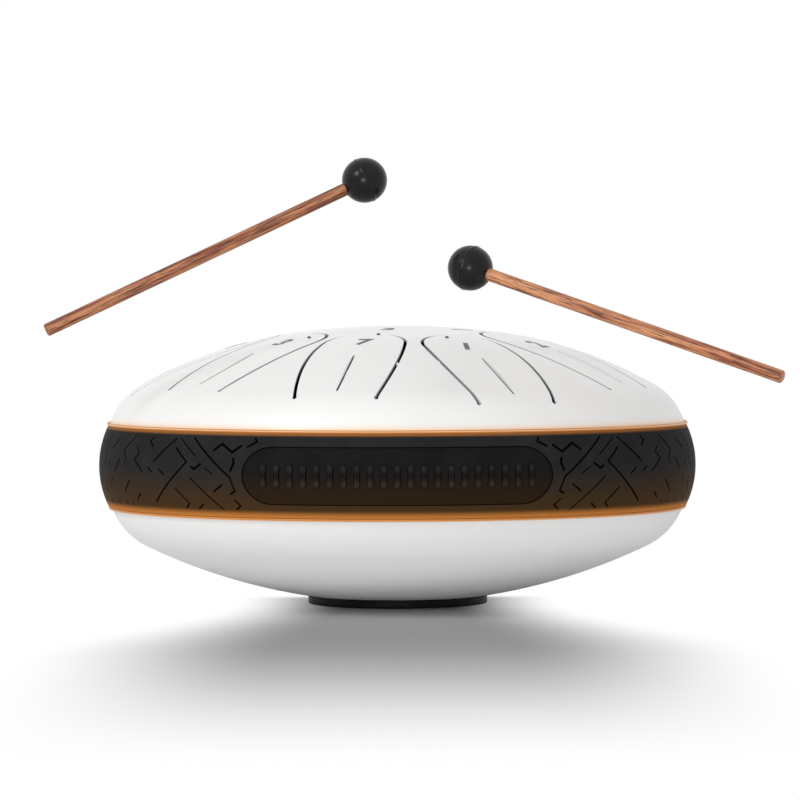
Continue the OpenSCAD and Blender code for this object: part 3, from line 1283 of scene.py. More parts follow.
@dataclass
class TongueBowl:
    """The top bowl, with ten tongues of different lengths cut free in it, and their printed numerals.

    Roots and lengths are shares of root_at and longest, turns count in tenths of the way round from the
    first tongue. A hub print is its text, distance from the axis, bearing and turn. A dot is its tongue
    and its place inwards from the tip and across. The skin is cut out flat up to skin_r: its ground points
    lie in coarse rings, and from fine_from on in fine ones. A cut's edge is eased by edge_round outwards
    and by edge_drop times as much down.
    """

    enamel: Finish
    primer_and_shade: Finish
    cut_edge_shade: Finish
    print_ink: Finish
    section: BowlSection = field(default_factory=lambda: TOP_BOWL)
    base_z: float = RIM_Z + GASKET_T / 2
    first_turn: float = -12.9
    roots: tuple[float, ...] = (0.977, 1, 0.951, 0.982, 0.972, 0.978, 0.97, 0.976, 0.984, 0.948)
    lengths: tuple[float, ...] = (1, 0.98, 0.99, 0.91, 0.93, 0.9, 0.92, 0.91, 0.93, 0.97)
    turns: tuple[float, ...] = (0, 1.055, 2.073, 3.073, 4.053, 5.03, 6.006, 6.983, 7.963, 8.961)
    numerals: tuple[str, ...] = ("7", "1", "2", "3", "4", "5", "6", "5", "4", "3")
    numeral_at: tuple[float, ...] = (19, 23, 29, 22, 22, 22, 22, 22, 22, 22)
    numeral_turn: tuple[float, ...] = (0, -20, 0, 0, 0, 0, 0, 0, 0, 0)
    hub_prints: tuple[tuple[str, float, float, float], ...] = (
        ("3", 32.0, -98.0, 0.0),
        ("1", 38.5, -31.5, 60.0),
    )
    dot_at: tuple[tuple[int, float, float], ...] = (
        (0, 2.6, 3.4),
        (1, 6.4, -2.8),
        (9, 11.9, 8.0),
        (5, 5.0, 0.0),
    )
    root_at: float = 137.3
    longest: float = 80.5
    belly_from_root: float = 32.0
    belly_w: float = 46.5
    root_w: float = 40.8
    kerf_w: float = 1.7
    root_hole_d: float = 2.2
    slit_from_tip: float = 41.0
    slit_from_root: float = 3.5
    slit_w: float = 1.0
    tip_lifts: tuple[float, ...] = (0.26, 0.26, 0.1, 0.05, 0.1, 0.1, 0.1, 0.0, 0.05, 0.1)
    edge_round: float = 0.12
    edge_drop: float = 0.8
    flank_steps: int = 22
    tip_steps: int = 30
    cap_steps: int = 12
    skin_r: float = 141.2
    coarse_step: float = 7.0
    fewest: int = 12
    fine_from: float = 126.0
    fine_step: float = 1.7
    fine_count: int = 180
    clear_square: float = 1.3
    segments: int = 360
    shoulder_steps: int = 16
    crease: float = 30.0
    numeral_h: float = 11.5
    numeral_bold: float = 0.035
    numeral_steps: int = 5
    print_edge: float = 2.2
    print_splits: int = 3
    print_t: float = 0.05
    print_sunk: float = 0.03
    dot_r: float = 1.0
    dot_h: float = 0.8

    def bearing(self, k: int) -> float:
        """Direction of a tongue from the axis, in degrees from +X."""
        return self.first_turn - 90 + self.turns[k] * 360 / len(self.lengths)

    def root_of(self, k: int) -> float:
        """Distance of a tongue's root from the axis."""
        return self.root_at * self.roots[k]

    def tip_of(self, k: int) -> float:
        """Distance of a tongue's tip from the axis."""
        return self.root_of(k) - self.longest * self.lengths[k]

    def edge_arcs(self, k: int) -> tuple[float, float, float, float, float]:
        """The arcs of the cut round one tongue.

        Args:
            k: The tongue's number.

        Returns:
            The flank's radius, how far its middle lies off the tongue's middle line, where the tongue is
            widest, and the tip's radius and middle.
        """
        belly_at = self.root_of(k) - self.belly_from_root
        sag = (self.belly_w - self.root_w) / 2
        flank_r = (self.belly_from_root**2 + sag**2) / (2 * sag)
        off = flank_r - self.belly_w / 2
        run = belly_at - self.tip_of(k)
        tip_r = (flank_r**2 - run**2 - off**2) / (2 * (flank_r - run))
        return flank_r, off, belly_at, tip_r, self.tip_of(k) + tip_r

    def edge_path(self, k: int) -> np.ndarray:
        """Middle line of the cut round one tongue, from root to root, before it is turned in place.

        Args:
            k: The tongue's number.

        Returns:
            The points of the line.
        """
        flank_r, off, belly_at, tip_r, tip_mid = self.edge_arcs(k)
        join = math.degrees(math.atan2(off, belly_at - tip_mid))
        root = math.degrees(math.asin(self.belly_from_root / flank_r))
        flank = arc((belly_at, -off), flank_r, 90 - root, 180 - join, self.flank_steps)
        tip = arc((tip_mid, 0), tip_r, 180 - join, 180 + join, self.tip_steps)
        return np.vstack((flank, tip[1:-1], flank[::-1] * (1, -1)))

    def lift(self, plan: np.ndarray) -> np.ndarray:
        """How far each point is raised by the slight set of the tongue that it lies on.

        Args:
            plan: Points in plan.

        Returns:
            The rise of each, in millimetres.
        """
        rise = np.zeros(len(plan))
        for k in range(len(self.lengths)):
            along, across = turn_of(self.bearing(k))
            x, y = plan @ along, plan @ across
            flank_r, off, belly_at, tip_r, tip_mid = self.edge_arcs(k)
            meet = tip_mid - tip_r * (belly_at - tip_mid) / (flank_r - tip_r)
            flank = np.sqrt(np.clip(flank_r**2 - (x - belly_at) ** 2, 0, None)) - off
            tip = np.sqrt(np.clip(tip_r**2 - (x - tip_mid) ** 2, 0, None))
            on = (np.abs(y) < np.where(x < meet, tip, flank)) & (x < self.root_of(k)) & (x > self.tip_of(k))
            share = np.clip((self.root_of(k) - x) / (self.root_of(k) - self.tip_of(k)), 0, 1)
            rise = np.where(on, self.tip_lifts[k] * share**2, rise)
        return rise

    def face_z(self, plan: np.ndarray) -> np.ndarray:
        """Height of the bowl's face over each point in plan."""
        return self.base_z + self.section.height(np.linalg.norm(plan, axis=1)) + self.lift(plan)

    def outlines(self) -> list[Outline]:
        """Draw every cut in the bowl.

        Returns:
            Each cut's outline, after a slightly wider one that eases its edge.
        """
        made, ease = [], self.edge_round
        for k in range(len(self.lengths)):
            turn = turn_of(self.bearing(k))
            ends = self.tip_of(k) + self.slit_from_tip, self.root_of(k) - self.slit_from_root
            slit = np.array([(end, 0) for end in ends])
            for path, half, cap in (
                (self.edge_path(k), self.kerf_w / 2, self.root_hole_d / 2),
                (slit, self.slit_w / 2, self.slit_w / 2),
            ):
                wide = stroke(path, half + ease, cap + ease, self.cap_steps)
                narrow = stroke(path, half, cap, self.cap_steps)
                made += [Outline(wide @ turn, 0.0), Outline(narrow @ turn, ease * self.edge_drop, True)]
        return made

    def ground(self, cuts: Sequence[Outline]) -> np.ndarray:
        """Points of the skin between the cuts.

        Args:
            cuts: The outlines that the points keep clear of.

        Returns:
            The points in plan, ring by ring, the border last.
        """
        rings = [np.zeros((1, 2))]
        for r in np.arange(self.coarse_step, self.fine_from, self.coarse_step):
            count = max(self.fewest, int(2 * math.pi * r / self.coarse_step))
            rings.append(arc((0, 0), r, 0, 360, count)[:-1])
        for r in np.arange(self.fine_from, self.skin_r - 1, self.fine_step):
            rings.append(arc((0, 0), r, 0, 360, self.fine_count)[:-1])
        inner = np.vstack(rings)
        edges = np.vstack([cut.points for cut in cuts])
        clear = [np.min(np.sum((edges - point) ** 2, axis=1)) > self.clear_square for point in inner]
        return np.vstack((inner[clear], arc((0, 0), self.skin_r, 0, 360, self.segments)[:-1]))

    def shell(self, *coats: bpy.types.Material) -> bpy.types.Object:
        """Build the bowl: its pierced skin, the cuts' walls, the wall, the flange and the inside.

        Args:
            coats: The enamel, the inside's dark primer, which is partly painted shade, and the grey painted
                shade on the cuts' walls.

        Returns:
            The bowl.
        """
        cuts = self.outlines()
        ground = self.ground(cuts)
        skin = Skin.woven(ground, cuts)
        r = np.linalg.norm(skin.points, axis=1)
        count, segments, sheet = len(r), self.segments, self.section.sheet
        level = self.base_z + self.lift(skin.points)
        top = np.column_stack((skin.points, level + self.section.height(r) - skin.drop))
        under = np.column_stack((skin.points, level + self.section.height(r, sheet)))
        faces = [tuple(face) for face in skin.faces]
        inside = [tuple(corner + count for corner in face[::-1]) for face in faces]
        half_edges = {(face[i], face[(i + 1) % 3]) for face in faces for i in range(3)}
        rim = {int(s): i for i, s in enumerate(skin.source) if s >= len(ground) - segments}
        border = [rim[len(ground) - segments + i] for i in range(segments)]
        on_border = set(border)
        walls = [
            (b, a, a + count, b + count)
            for a, b in half_edges
            if (b, a) not in half_edges and not (a in on_border and b in on_border)
        ]
        outer = self.section.meridian(self.skin_r, 0, self.shoulder_steps)[1:]
        inner = self.section.meridian(self.skin_r, sheet, self.shoulder_steps)[1:]
        profile = np.vstack((outer, self.section.flange_corners(), inner[::-1])) + (0, self.base_z)
        rings = ring_points(profile, np.linspace(0, 2 * math.pi, segments, endpoint=False))
        numbers = 2 * count + np.arange(len(rings) * segments).reshape(-1, segments)
        order = [border, *numbers, [i + count for i in border]]
        bands = [face for one, other in zip(order, order[1:]) for face in ring_faces(one, other)]
        piece = object_of("tongue_bowl", np.vstack((top, under, *rings)), [*faces, *inside, *walls, *bands])
        for coat in coats:
            piece.data.materials.append(coat)
        coat_of = np.zeros(len(piece.data.polygons), int)
        # Inside faces take the dark primer, which is partly painted shade seen through the cuts
        coat_of[len(faces) : 2 * len(faces)] = 1
        # The cuts' walls take grey: painted shade in the cuts
        coat_of[2 * len(faces) : 2 * len(faces) + len(walls)] = 2
        coat_of[-(len(inner) + 1) * segments :] = 1
        piece.data.polygons.foreach_set("material_index", coat_of)
        self._shade(piece.data, skin, r)
        return piece

    def _shade(self, mesh: bpy.types.Mesh, skin: Skin, r: np.ndarray) -> None:
        """Give the skin the bowl's own normals, so that it shades as one smooth pressing.

        Args:
            mesh: The bowl's mesh, which starts with the skin's faces and then those of its inside.
            skin: The skin.
            r: Distance of each of its points from the axis.
        """
        lean = self.section.lean(r)
        flat = skin.points / np.maximum(r, TINY)[:, None]
        smooth = np.column_stack((flat * lean[:, None], np.sqrt(1 - lean**2)))
        normals = np.zeros((len(mesh.loops), 3))
        corners, even = skin.faces.ravel(), skin.even()
        normals[: len(corners)][even] = smooth[corners][even]
        normals[len(corners) : 2 * len(corners)] = -smooth[skin.faces[:, ::-1].ravel()]
        give_normals(mesh, self.crease, normals)

    def letter(self, text: str) -> bmesh.types.BMesh:
        """Draw a flat numeral of the right height round the origin, in small triangles.

        Args:
            text: The numeral.

        Returns:
            Its shape in millimetres.
        """
        curve = bpy.data.curves.new("numeral", "FONT")
        curve.body = text
        curve.resolution_u = self.numeral_steps
        curve.offset = self.numeral_bold
        solid = linked("numeral", curve)
        bpy.context.view_layer.update()
        graph = bpy.context.evaluated_depsgraph_get()
        flat = bpy.data.meshes.new_from_object(solid.evaluated_get(graph))
        bpy.data.objects.remove(solid)
        shape = bmesh.new()
        shape.from_mesh(flat)
        bmesh.ops.remove_doubles(shape, verts=shape.verts, dist=SAME_POINT)
        low = Vector([min(point.co[i] for point in shape.verts) for i in range(3)])
        high = Vector([max(point.co[i] for point in shape.verts) for i in range(3)])
        grow = Matrix.Scale(self.numeral_h / (high.y - low.y), 4)
        bmesh.ops.transform(shape, verts=shape.verts, matrix=grow @ Matrix.Translation(-(low + high) / 2))
        bmesh.ops.triangulate(shape, faces=shape.faces)
        for _ in range(self.print_splits):
            long = [edge for edge in shape.edges if edge.calc_length() > self.print_edge]
            if long:
                bmesh.ops.subdivide_edges(shape, edges=long, cuts=1)
                bmesh.ops.triangulate(shape, faces=shape.faces)
        return shape

    def numeral(
        self, text: str, out: float, bearing: float, turn: float
    ) -> tuple[np.ndarray, list[tuple[int, ...]]]:
        """Lay one printed numeral on the bowl with its top towards the centre.

        Args:
            text: The numeral.
            out: Distance of its middle from the axis.
            bearing: Its direction from the axis, in degrees from +X.
            turn: How far it is turned in its place, in degrees.

        Returns:
            Its points in millimetres and its faces.
        """
        shape = self.letter(text)
        angle = math.radians(bearing)
        place = Matrix.Rotation(angle + math.radians(90 + turn), 4, "Z")
        place.translation = Vector((math.cos(angle), math.sin(angle), 0)) * out
        bmesh.ops.transform(shape, verts=shape.verts, matrix=place)
        bmesh.ops.recalc_face_normals(shape, faces=shape.faces)
        if sum(face.normal.z for face in shape.faces) < 0:
            bmesh.ops.reverse_faces(shape, faces=shape.faces)
        shape.verts.index_update()
        plan = np.array([tuple(point.co)[:2] for point in shape.verts])
        tops = [tuple(point.index for point in face.verts) for face in shape.faces]
        edges = [(corner.vert.index, corner.link_loop_next.vert.index)
                 for face in shape.faces for corner in face.loops if corner.edge.is_boundary]
        shape.free()
        count, z = len(plan), self.face_z(plan)
        points = np.vstack([np.column_stack((plan, z + rise)) for rise in (self.print_t, -self.print_sunk)])
        sides = [(b, a, a + count, b + count) for a, b in edges]
        return points, [*tops, *[tuple(i + count for i in face[::-1]) for face in tops], *sides]

    def print_piece(self, finish: bpy.types.Material) -> bpy.types.Object:
        """Print all the numerals.

        Args:
            finish: The print's material.

        Returns:
            The numerals as one thin piece.
        """
        points, faces, start = [], [], 0
        prints = [(text, self.tip_of(k) + self.numeral_at[k], self.bearing(k), self.numeral_turn[k])
                  for k, text in enumerate(self.numerals)]
        for text, out, bearing, turn in [*prints, *self.hub_prints]:
            more, flat = self.numeral(text, out, bearing, turn)
            points.append(more)
            faces += [tuple(i + start for i in face) for face in flat]
            start += len(more)
        return object_of("numerals", np.vstack(points), faces, finish)

    def dots(self, finish: bpy.types.Material, tree: ShapeTree) -> bpy.types.Object:
        """Raise the dots inside the tips of some tongues.

        Args:
            finish: The dots' material.
            tree: The dot tree.

        Returns:
            The dots as one piece.
        """
        plan = np.vstack([np.array([[self.tip_of(k) + along, across]]) @ turn_of(self.bearing(k))
                          for k, along, across in self.dot_at])
        piece = object_of("note_dots", np.column_stack((plan, self.face_z(plan))), [])
        centre = (self.base_z + self.section.bends[0].mid) * MM
        size = {"Radius": self.dot_r * MM, "Height": self.dot_h * MM}
        return tree.apply(piece, **size, Centre_Z=centre, Finish=finish)

    def build(self, dots: ShapeTree) -> None:
        """Build and place the bowl, its numerals and its dots.

        Args:
            dots: The dot tree.
        """
        bowl = self.shell(self.enamel.material(), self.primer_and_shade.material(), self.cut_edge_shade.material())
        place_piece("tongue_bowl", DRUM, self.enamel, bowl, "upper_shell")
        ink = self.print_ink.material()
        place_piece("numerals", DRUM, self.print_ink, self.print_piece(ink))
        place_piece("note_dots", DRUM, self.print_ink, self.dots(ink, dots))


@dataclass
class LowerBowl:
    """The bottom bowl with the sound port at its pole."""

    enamel: Finish
    primer_and_shade: Finish
    section: BowlSection = field(default_factory=lambda: LOWER_BOWL)
    base_z: float = RIM_Z - GASKET_T / 2

    def build(self, tree: ShapeTree) -> None:
        """Turn the sheet's section and place the bowl.

        Args:
            tree: The turning tree.
        """
        loop = self.section.loop(PORT_R) * (1, -1) + (0, self.base_z)
        piece = turned("port_bowl", loop, self.enamel.material(), tree, segments=360, crease=32)
        piece.data.materials.append(self.primer_and_shade.material())
        middle = Vector((0, 0, self.base_z * MM))
        # Inside faces take the dark primer, which is partly painted shade seen through the port
        for face in piece.data.polygons:
            face.material_index = int(face.normal.dot(face.center - middle) < 0)
        place_piece("port_bowl", DRUM, self.enamel, piece, "lower_shell")


# Rim band


@dataclass
class RimBand:
    """The moulded band round the rim: a tread of fine grooves, and a long sunk panel with upright flutes.

    Its skin is woven flat, unrolled from the back round to the back, and then laid on the arched face. The
    steps of the panel's wall are their distance inwards and their depth. Those of a flute are their
    distance inwards and their depth under the band's face.
    """

    rubber: Finish
    face: BandFace = BandFace()
    flange_room: float = 0.3
    seat_steps: int = 8
    panel_w: float = 152.0
    panel_h: float = 29.0
    panel_depth: float = 0.8
    panel_wall: tuple[tuple[float, float], ...] = ((0.0, 0.0), (0.22, 0.10), (0.45, 0.40))
    panel_wall_w: float = 0.62
    panel_margin: float = 2.5
    panel_end_steps: int = 28
    panel_side_points: int = 32
    flutes: int = 21
    flute_h: float = 11.0
    flute_w: float = 3.0
    flute_run: float = 0.86
    flute_sunk: float = 0.1
    flute_crest: tuple[tuple[float, float], ...] = ((0.0, 0.35), (0.12, 0.14), (0.4, 0.02), (0.8, 0.0))
    flute_steps: int = 10
    flute_crease: float = 50.0
    groove_w: float = 0.8
    groove_depth: float = 0.68
    groove_ease: float = 0.16
    groove_floor: float = 0.6
    groove_step: float = 2.0
    groove_cap_steps: int = 6
    edge_margin: float = 1.0
    clear: float = 0.7
    columns: int = 360
    rows: int = 17
    units: int = 3
    crease: float = 32.0

    # A tread unit's strokes: a weight, then points across it from the panel's side and up it, as shares
    strokes: tuple[tuple[float, tuple[tuple[float, float], ...]], ...] = (
        (1.0, ((0.303, 0.64), (0.24, 0.30), (0.431, -0.74))),
        (1.0, ((0.218, 0.91), (0.03, -0.06), (0.01, -0.40), (0.03, -0.47))),
        (1.0, ((0.313, 0.88), (0.433, 0.27))),
        (0.9, ((0.598, 0.88), (0.67, 0.51), (0.64, 0.31), (0.653, 0.14))),
        (0.9, ((0.454, 0.89), (0.473, 0.79), (0.449, 0.65))),
        (0.9, ((0.557, 0.61), (0.538, 0.47), (0.569, 0.31), (0.502, -0.01))),
        (0.9, ((0.466, 0.12), (0.439, 0.01))),
        (0.9, ((0.397, 0.10), (0.365, -0.04))),
        (1.3, ((0.169, 0.26), (0.20, 0.13), (0.215, 0.19))),
        (1.4, ((0.11, 0.61), (0.076, 0.78), (0.025, 0.57), (-0.012, 0.74))),
        (1.2, ((-0.04, 0.72), (-0.076, 0.84), (-0.068, 0.92))),
        (1.6, ((0.019, 0.41), (0.014, 0.30), (0.027, 0.12))),
        (1.0, ((0.067, -0.25), (0.106, -0.42))),
        (0.7, ((0.22, -0.09), (0.069, -0.89))),
        (0.8, ((0.302, -0.37), (0.238, -0.74), (0.259, -0.87))),
        (0.9, ((0.168, -0.76), (0.194, -0.88))),
        (0.9, ((0.018, -0.62), (-0.007, -0.76), (0.014, -0.87))),
        (1.0, ((0.609, -0.25), (0.661, -0.53))),
        (0.9, ((0.534, -0.55), (0.566, -0.71))),
        (1.0, ((0.703, 0.28), (0.749, -0.03))),
        (0.5, ((0.287, 0.88), (0.199, 0.47))),
        (0.5, ((0.150, 0.18), (0.11, 0.02))),
        (0.9, ((0.61, -0.78), (0.615, -0.88))),
        (0.9, ((0.665, -0.76), (0.67, -0.86))),
        (0.9, ((0.745, -0.74), (0.75, -0.85))),
        (0.9, ((0.74, 0.80), (0.80, 0.55))),
        (1.0, ((0.86, 0.86), (0.90, 0.50), (0.875, 0.30), (0.90, 0.06))),
        (0.9, ((0.82, 0.22), (0.80, 0.06))),
        (0.9, ((0.78, -0.18), (0.81, -0.44))),
        (1.0, ((0.96, 0.70), (0.985, 0.46), (0.94, -0.10), (0.985, -0.42))),
        (0.9, ((0.87, -0.36), (0.90, -0.60))),
        (0.9, ((0.85, -0.74), (0.86, -0.86))),
    )

    def lay(self, flat: np.ndarray, drop: np.ndarray) -> tuple[np.ndarray, np.ndarray]:
        """Lay points of the flat skin on the band.

        Args:
            flat: Distance round the band from the back, and height over its middle.
            drop: Depth of each point below the face.

        Returns:
            The points and the face's unit normals there.
        """
        face, turn = self.face, flat[:, 0] / self.face.belly_r + math.pi / 2
        out = np.sqrt(face.arch_r**2 - flat[:, 1] ** 2)
        lean, rise = out / face.arch_r, flat[:, 1] / face.arch_r
        r = face.arch_at + out - drop * lean
        z = face.middle_z + flat[:, 1] - drop * rise
        points = np.column_stack((r * np.cos(turn), r * np.sin(turn), z))
        return points, np.column_stack((lean * np.cos(turn), lean * np.sin(turn), rise))

    def panel_outline(self, inset: float) -> np.ndarray:
        """Draw the panel as it lies on the unrolled band.

        Args:
            inset: How far its outline is drawn inwards.

        Returns:
            The outline's points.
        """
        straight, end = (self.panel_w - self.panel_h) / 2, self.panel_h / 2 - inset
        right = arc((straight, 0), end, -90, 90, self.panel_end_steps)
        left = arc((-straight, 0), end, 90, 270, self.panel_end_steps)
        count = self.panel_side_points
        run = np.linspace(-straight, straight, count + 2)[1:-1]
        below, above = np.full(count, -end), np.full(count, end)
        ring = np.vstack((np.column_stack((run, below)), right, np.column_stack((run[::-1], above)), left))
        belly_r = self.face.belly_r
        ring[:, 0] = self.face.around / 2 + np.arcsin(ring[:, 0] / belly_r) * belly_r
        return ring

    def outlines(self) -> list[Outline]:
        """Draw the panel and every groove.

        Returns:
            The outlines of the panel's wall, then of each groove's edge and floor.
        """
        wall = [*self.panel_wall, (self.panel_wall_w, self.panel_depth)]
        made = [Outline(self.panel_outline(inset), drop) for inset, drop in wall]
        middle, belly_r = self.face.around / 2, self.face.belly_r
        panel = math.asin(self.panel_w / 2 / belly_r) * belly_r + self.panel_margin
        width = (middle - panel) / self.units
        for side in (-1, 1):
            for unit in range(self.units):
                flip = unit % 2
                for weight, shares in self.strokes:
                    path = np.array([((1 - u if flip else u), (-v if flip else v)) for u, v in shares])
                    path = path * (width, self.face.height / 2 - self.edge_margin)
                    path[:, 0] = middle + side * (panel + unit * width + path[:, 0])
                    path = finer(path, self.groove_step)
                    half = self.groove_w * weight / 2
                    wide, floor = half + self.groove_ease, half * self.groove_floor
                    steps = self.groove_cap_steps
                    made.append(Outline(stroke(path, wide, wide, steps), 0.0))
                    made.append(Outline(stroke(path, floor, floor, steps), self.groove_depth))
        return made

    def skin(self) -> Skin:
        """Weave the band's outer skin.

        Returns:
            The skin, flat.
        """
        outlines, around, half = self.outlines(), self.face.around, self.face.height / 2
        across = np.linspace(0, around, self.columns + 1)
        up = np.linspace(-half, half, self.rows)
        grid = np.array([(s, v) for s in across for v in up])
        near = within_reach(np.vstack([outline.points for outline in outlines]), grid, self.clear)
        border = (np.abs(grid[:, 1]) > half - TINY) | (grid[:, 0] < TINY) | (grid[:, 0] > around - TINY)
        return Skin.woven(grid[border | ~near], outlines)

    def inner_profile(self) -> np.ndarray:
        """Draw the hidden side, which grips both bowls' shoulders and flanges.

        Returns:
            Radius and height of each point, from the top edge to the bottom edge.
        """
        rows = []
        for side, section in ((1, TOP_BOWL), (-1, LOWER_BOWL)):
            shoulder = section.bends[-1]
            seat_r = shoulder.radius + SEAT_GAP
            base = RIM_Z + side * GASKET_T / 2
            mid = base + side * shoulder.mid
            edge = self.face.middle_z + side * self.face.height / 2
            first = math.degrees(math.asin(np.clip(side * (edge - mid) / seat_r, 0, 1)))
            bend = arc((shoulder.at, 0), seat_r, first, 0, self.seat_steps)
            wall = np.column_stack((bend[:, 0], mid + side * bend[:, 1]))
            clamp = base + side * (section.sheet + SEAT_GAP)
            deep = section.rim_r + section.flange + self.flange_room
            wall = np.vstack((wall, [[section.rim_r + SEAT_GAP, clamp], [deep, clamp]]))
            rows.append(wall if side > 0 else wall[::-1])
        return np.vstack(rows)

    def joined(self, flat: np.ndarray) -> np.ndarray:
        """Join the two ends of the skin at the back.

        Args:
            flat: The skin's points.

        Returns:
            The number of the point that each point is replaced by: a point of the last column by its like
            in the first, any other by itself.
        """
        first = np.flatnonzero(np.abs(flat[:, 0]) < SLACK)
        by_height = {round(float(flat[i, 1]), 3): int(i) for i in first}
        stands_in = np.arange(len(flat))
        for i in np.flatnonzero(self.in_last_column(flat)):
            stands_in[i] = by_height[round(float(flat[i, 1]), 3)]
        return stands_in

    def in_last_column(self, flat: np.ndarray) -> np.ndarray:
        """Whether each point of the skin lies in its last column."""
        return np.abs(flat[:, 0] - self.face.around) < SLACK

    def edge_ring(self, flat: np.ndarray, level: float) -> np.ndarray:
        """Find the skin's points along one edge of the band.

        Args:
            flat: The skin's points.
            level: The edge's height over the band's middle.

        Returns:
            The number of the point in each column.
        """
        on_edge = np.flatnonzero((np.abs(flat[:, 1] - level) < SLACK) & ~self.in_last_column(flat))
        ring = np.empty(self.columns, int)
        ring[np.rint(flat[on_edge, 0] / (self.face.around / self.columns)).astype(int)] = on_edge
        return ring

    def band(self, finish: bpy.types.Material) -> bpy.types.Object:
        """Build the band: the skin, its two edges and the hidden side.

        Args:
            finish: The rubber.

        Returns:
            The band.
        """
        skin = self.skin()
        points, normals = self.lay(skin.points, skin.drop)
        faces = [tuple(face) for face in self.joined(skin.points)[skin.faces]]
        top, bottom = (self.edge_ring(skin.points, side * self.face.height / 2) for side in (1, -1))
        turn = np.arange(self.columns) * 2 * math.pi / self.columns + math.pi / 2
        rings = ring_points(self.inner_profile(), turn)
        numbers = len(points) + np.arange(len(rings) * self.columns).reshape(-1, self.columns)
        order = [top, *numbers, bottom]
        bands = [face for one, other in zip(order, order[1:]) for face in ring_faces(other, one)]
        piece = object_of("tread_band", np.vstack((points, *rings)), [*faces, *bands], finish)
        self._shade(piece.data, skin, normals)
        self._drop_loose(piece.data)
        return piece

    def _shade(self, mesh: bpy.types.Mesh, skin: Skin, normals: np.ndarray) -> None:
        """Give the skin the arched face's normals, which bend over into the grooves' walls.

        Args:
            mesh: The band's mesh, which starts with the skin's faces.
            skin: The skin.
            normals: The arched face's unit normal at each of its points.
        """
        custom = np.zeros((len(mesh.loops), 3))
        corners, even = skin.faces.ravel(), skin.even()
        custom[: len(corners)][even] = normals[corners][even]
        slope = np.repeat([tuple(face.normal) for face in mesh.polygons[: len(skin.faces)]], 3, axis=0)
        eased = slope + normals[corners] * (skin.drop[corners] < TINY)[:, None]
        eased /= np.linalg.norm(eased, axis=1)[:, None]
        custom[: len(corners)][~even] = eased[~even]
        give_normals(mesh, self.crease, custom)

    @staticmethod
    def _drop_loose(mesh: bpy.types.Mesh) -> None:
        """Delete the points that no face uses, which the joined ends leave behind.

        Args:
            mesh: The band's mesh.
        """
        shape = bmesh.new()
        shape.from_mesh(mesh)
        alone = [point for point in shape.verts if not point.link_faces]
        bmesh.ops.delete(shape, geom=alone, context="VERTS")
        shape.to_mesh(mesh)
        shape.free()

    def flute(self) -> bpy.types.Object:
        """Build one flute with a rounded crest, standing on the panel's floor at the front.

        Returns:
            The flute.
        """
        face, rings = self.face, []
        straight, count = (self.flute_h - self.flute_w) / 2, 2 * (self.flute_steps + 1)
        for inset, drop in ((0.0, self.panel_depth + self.flute_sunk), *self.flute_crest):
            half = self.flute_w / 2 - inset
            upper = arc((0, straight), half, 0, 180, self.flute_steps)
            lower = arc((0, -straight), half, 180, 360, self.flute_steps)
            x, y = np.vstack((upper, lower)).T
            out = face.arch_at + np.sqrt(face.arch_r**2 - y**2) - drop
            rings.append(np.column_stack((x, -np.sqrt(out**2 - x**2), face.middle_z + y)))
        faces = [(k * count + i, k * count + (i + 1) % count,
                  (k + 1) * count + (i + 1) % count, (k + 1) * count + i)
                 for k in range(len(rings) - 1) for i in range(count)]
        faces += [tuple(range(count))[::-1], tuple(range((len(rings) - 1) * count, len(rings) * count))]
        piece = facing_out(object_of("flute", np.vstack(rings), faces))
        piece.data.shade_smooth()
        piece.data.set_sharp_from_angle(angle=math.radians(self.flute_crease))
        return piece

    def build(self, tree: ShapeTree) -> None:
        """Build and place the band and its flutes.

        Args:
            tree: The row tree.
        """
        rubber = self.rubber.material()
        place_piece("tread_band", DRUM, self.rubber, self.band(rubber), "rim_band")
        step = self.panel_w * self.flute_run / (self.flutes - 1)
        row = tree.apply(self.flute(), Count=self.flutes, Step=step * MM, Radius=self.face.belly_r * MM,
                         Finish=rubber)
        place_piece("panel_flutes", DRUM, self.rubber, row)


# Small turned pieces


@dataclass
class TrimBead:
    """A thin round bead in the corner between a bowl and the band's edge."""

    name: str
    node: str
    finish: Finish
    middle: tuple[float, float]
    bead_r: float = 0.8
    bead_steps: int = 16

    def build(self, tree: ShapeTree) -> None:
        """Turn the bead's section and place it.

        Args:
            tree: The turning tree.
        """
        profile = arc(self.middle, self.bead_r, 0, 360, self.bead_steps)
        piece = turned(self.name, profile, self.finish.material(), tree, segments=360, crease=80)
        place_piece(self.name, DRUM, self.finish, piece, self.node)


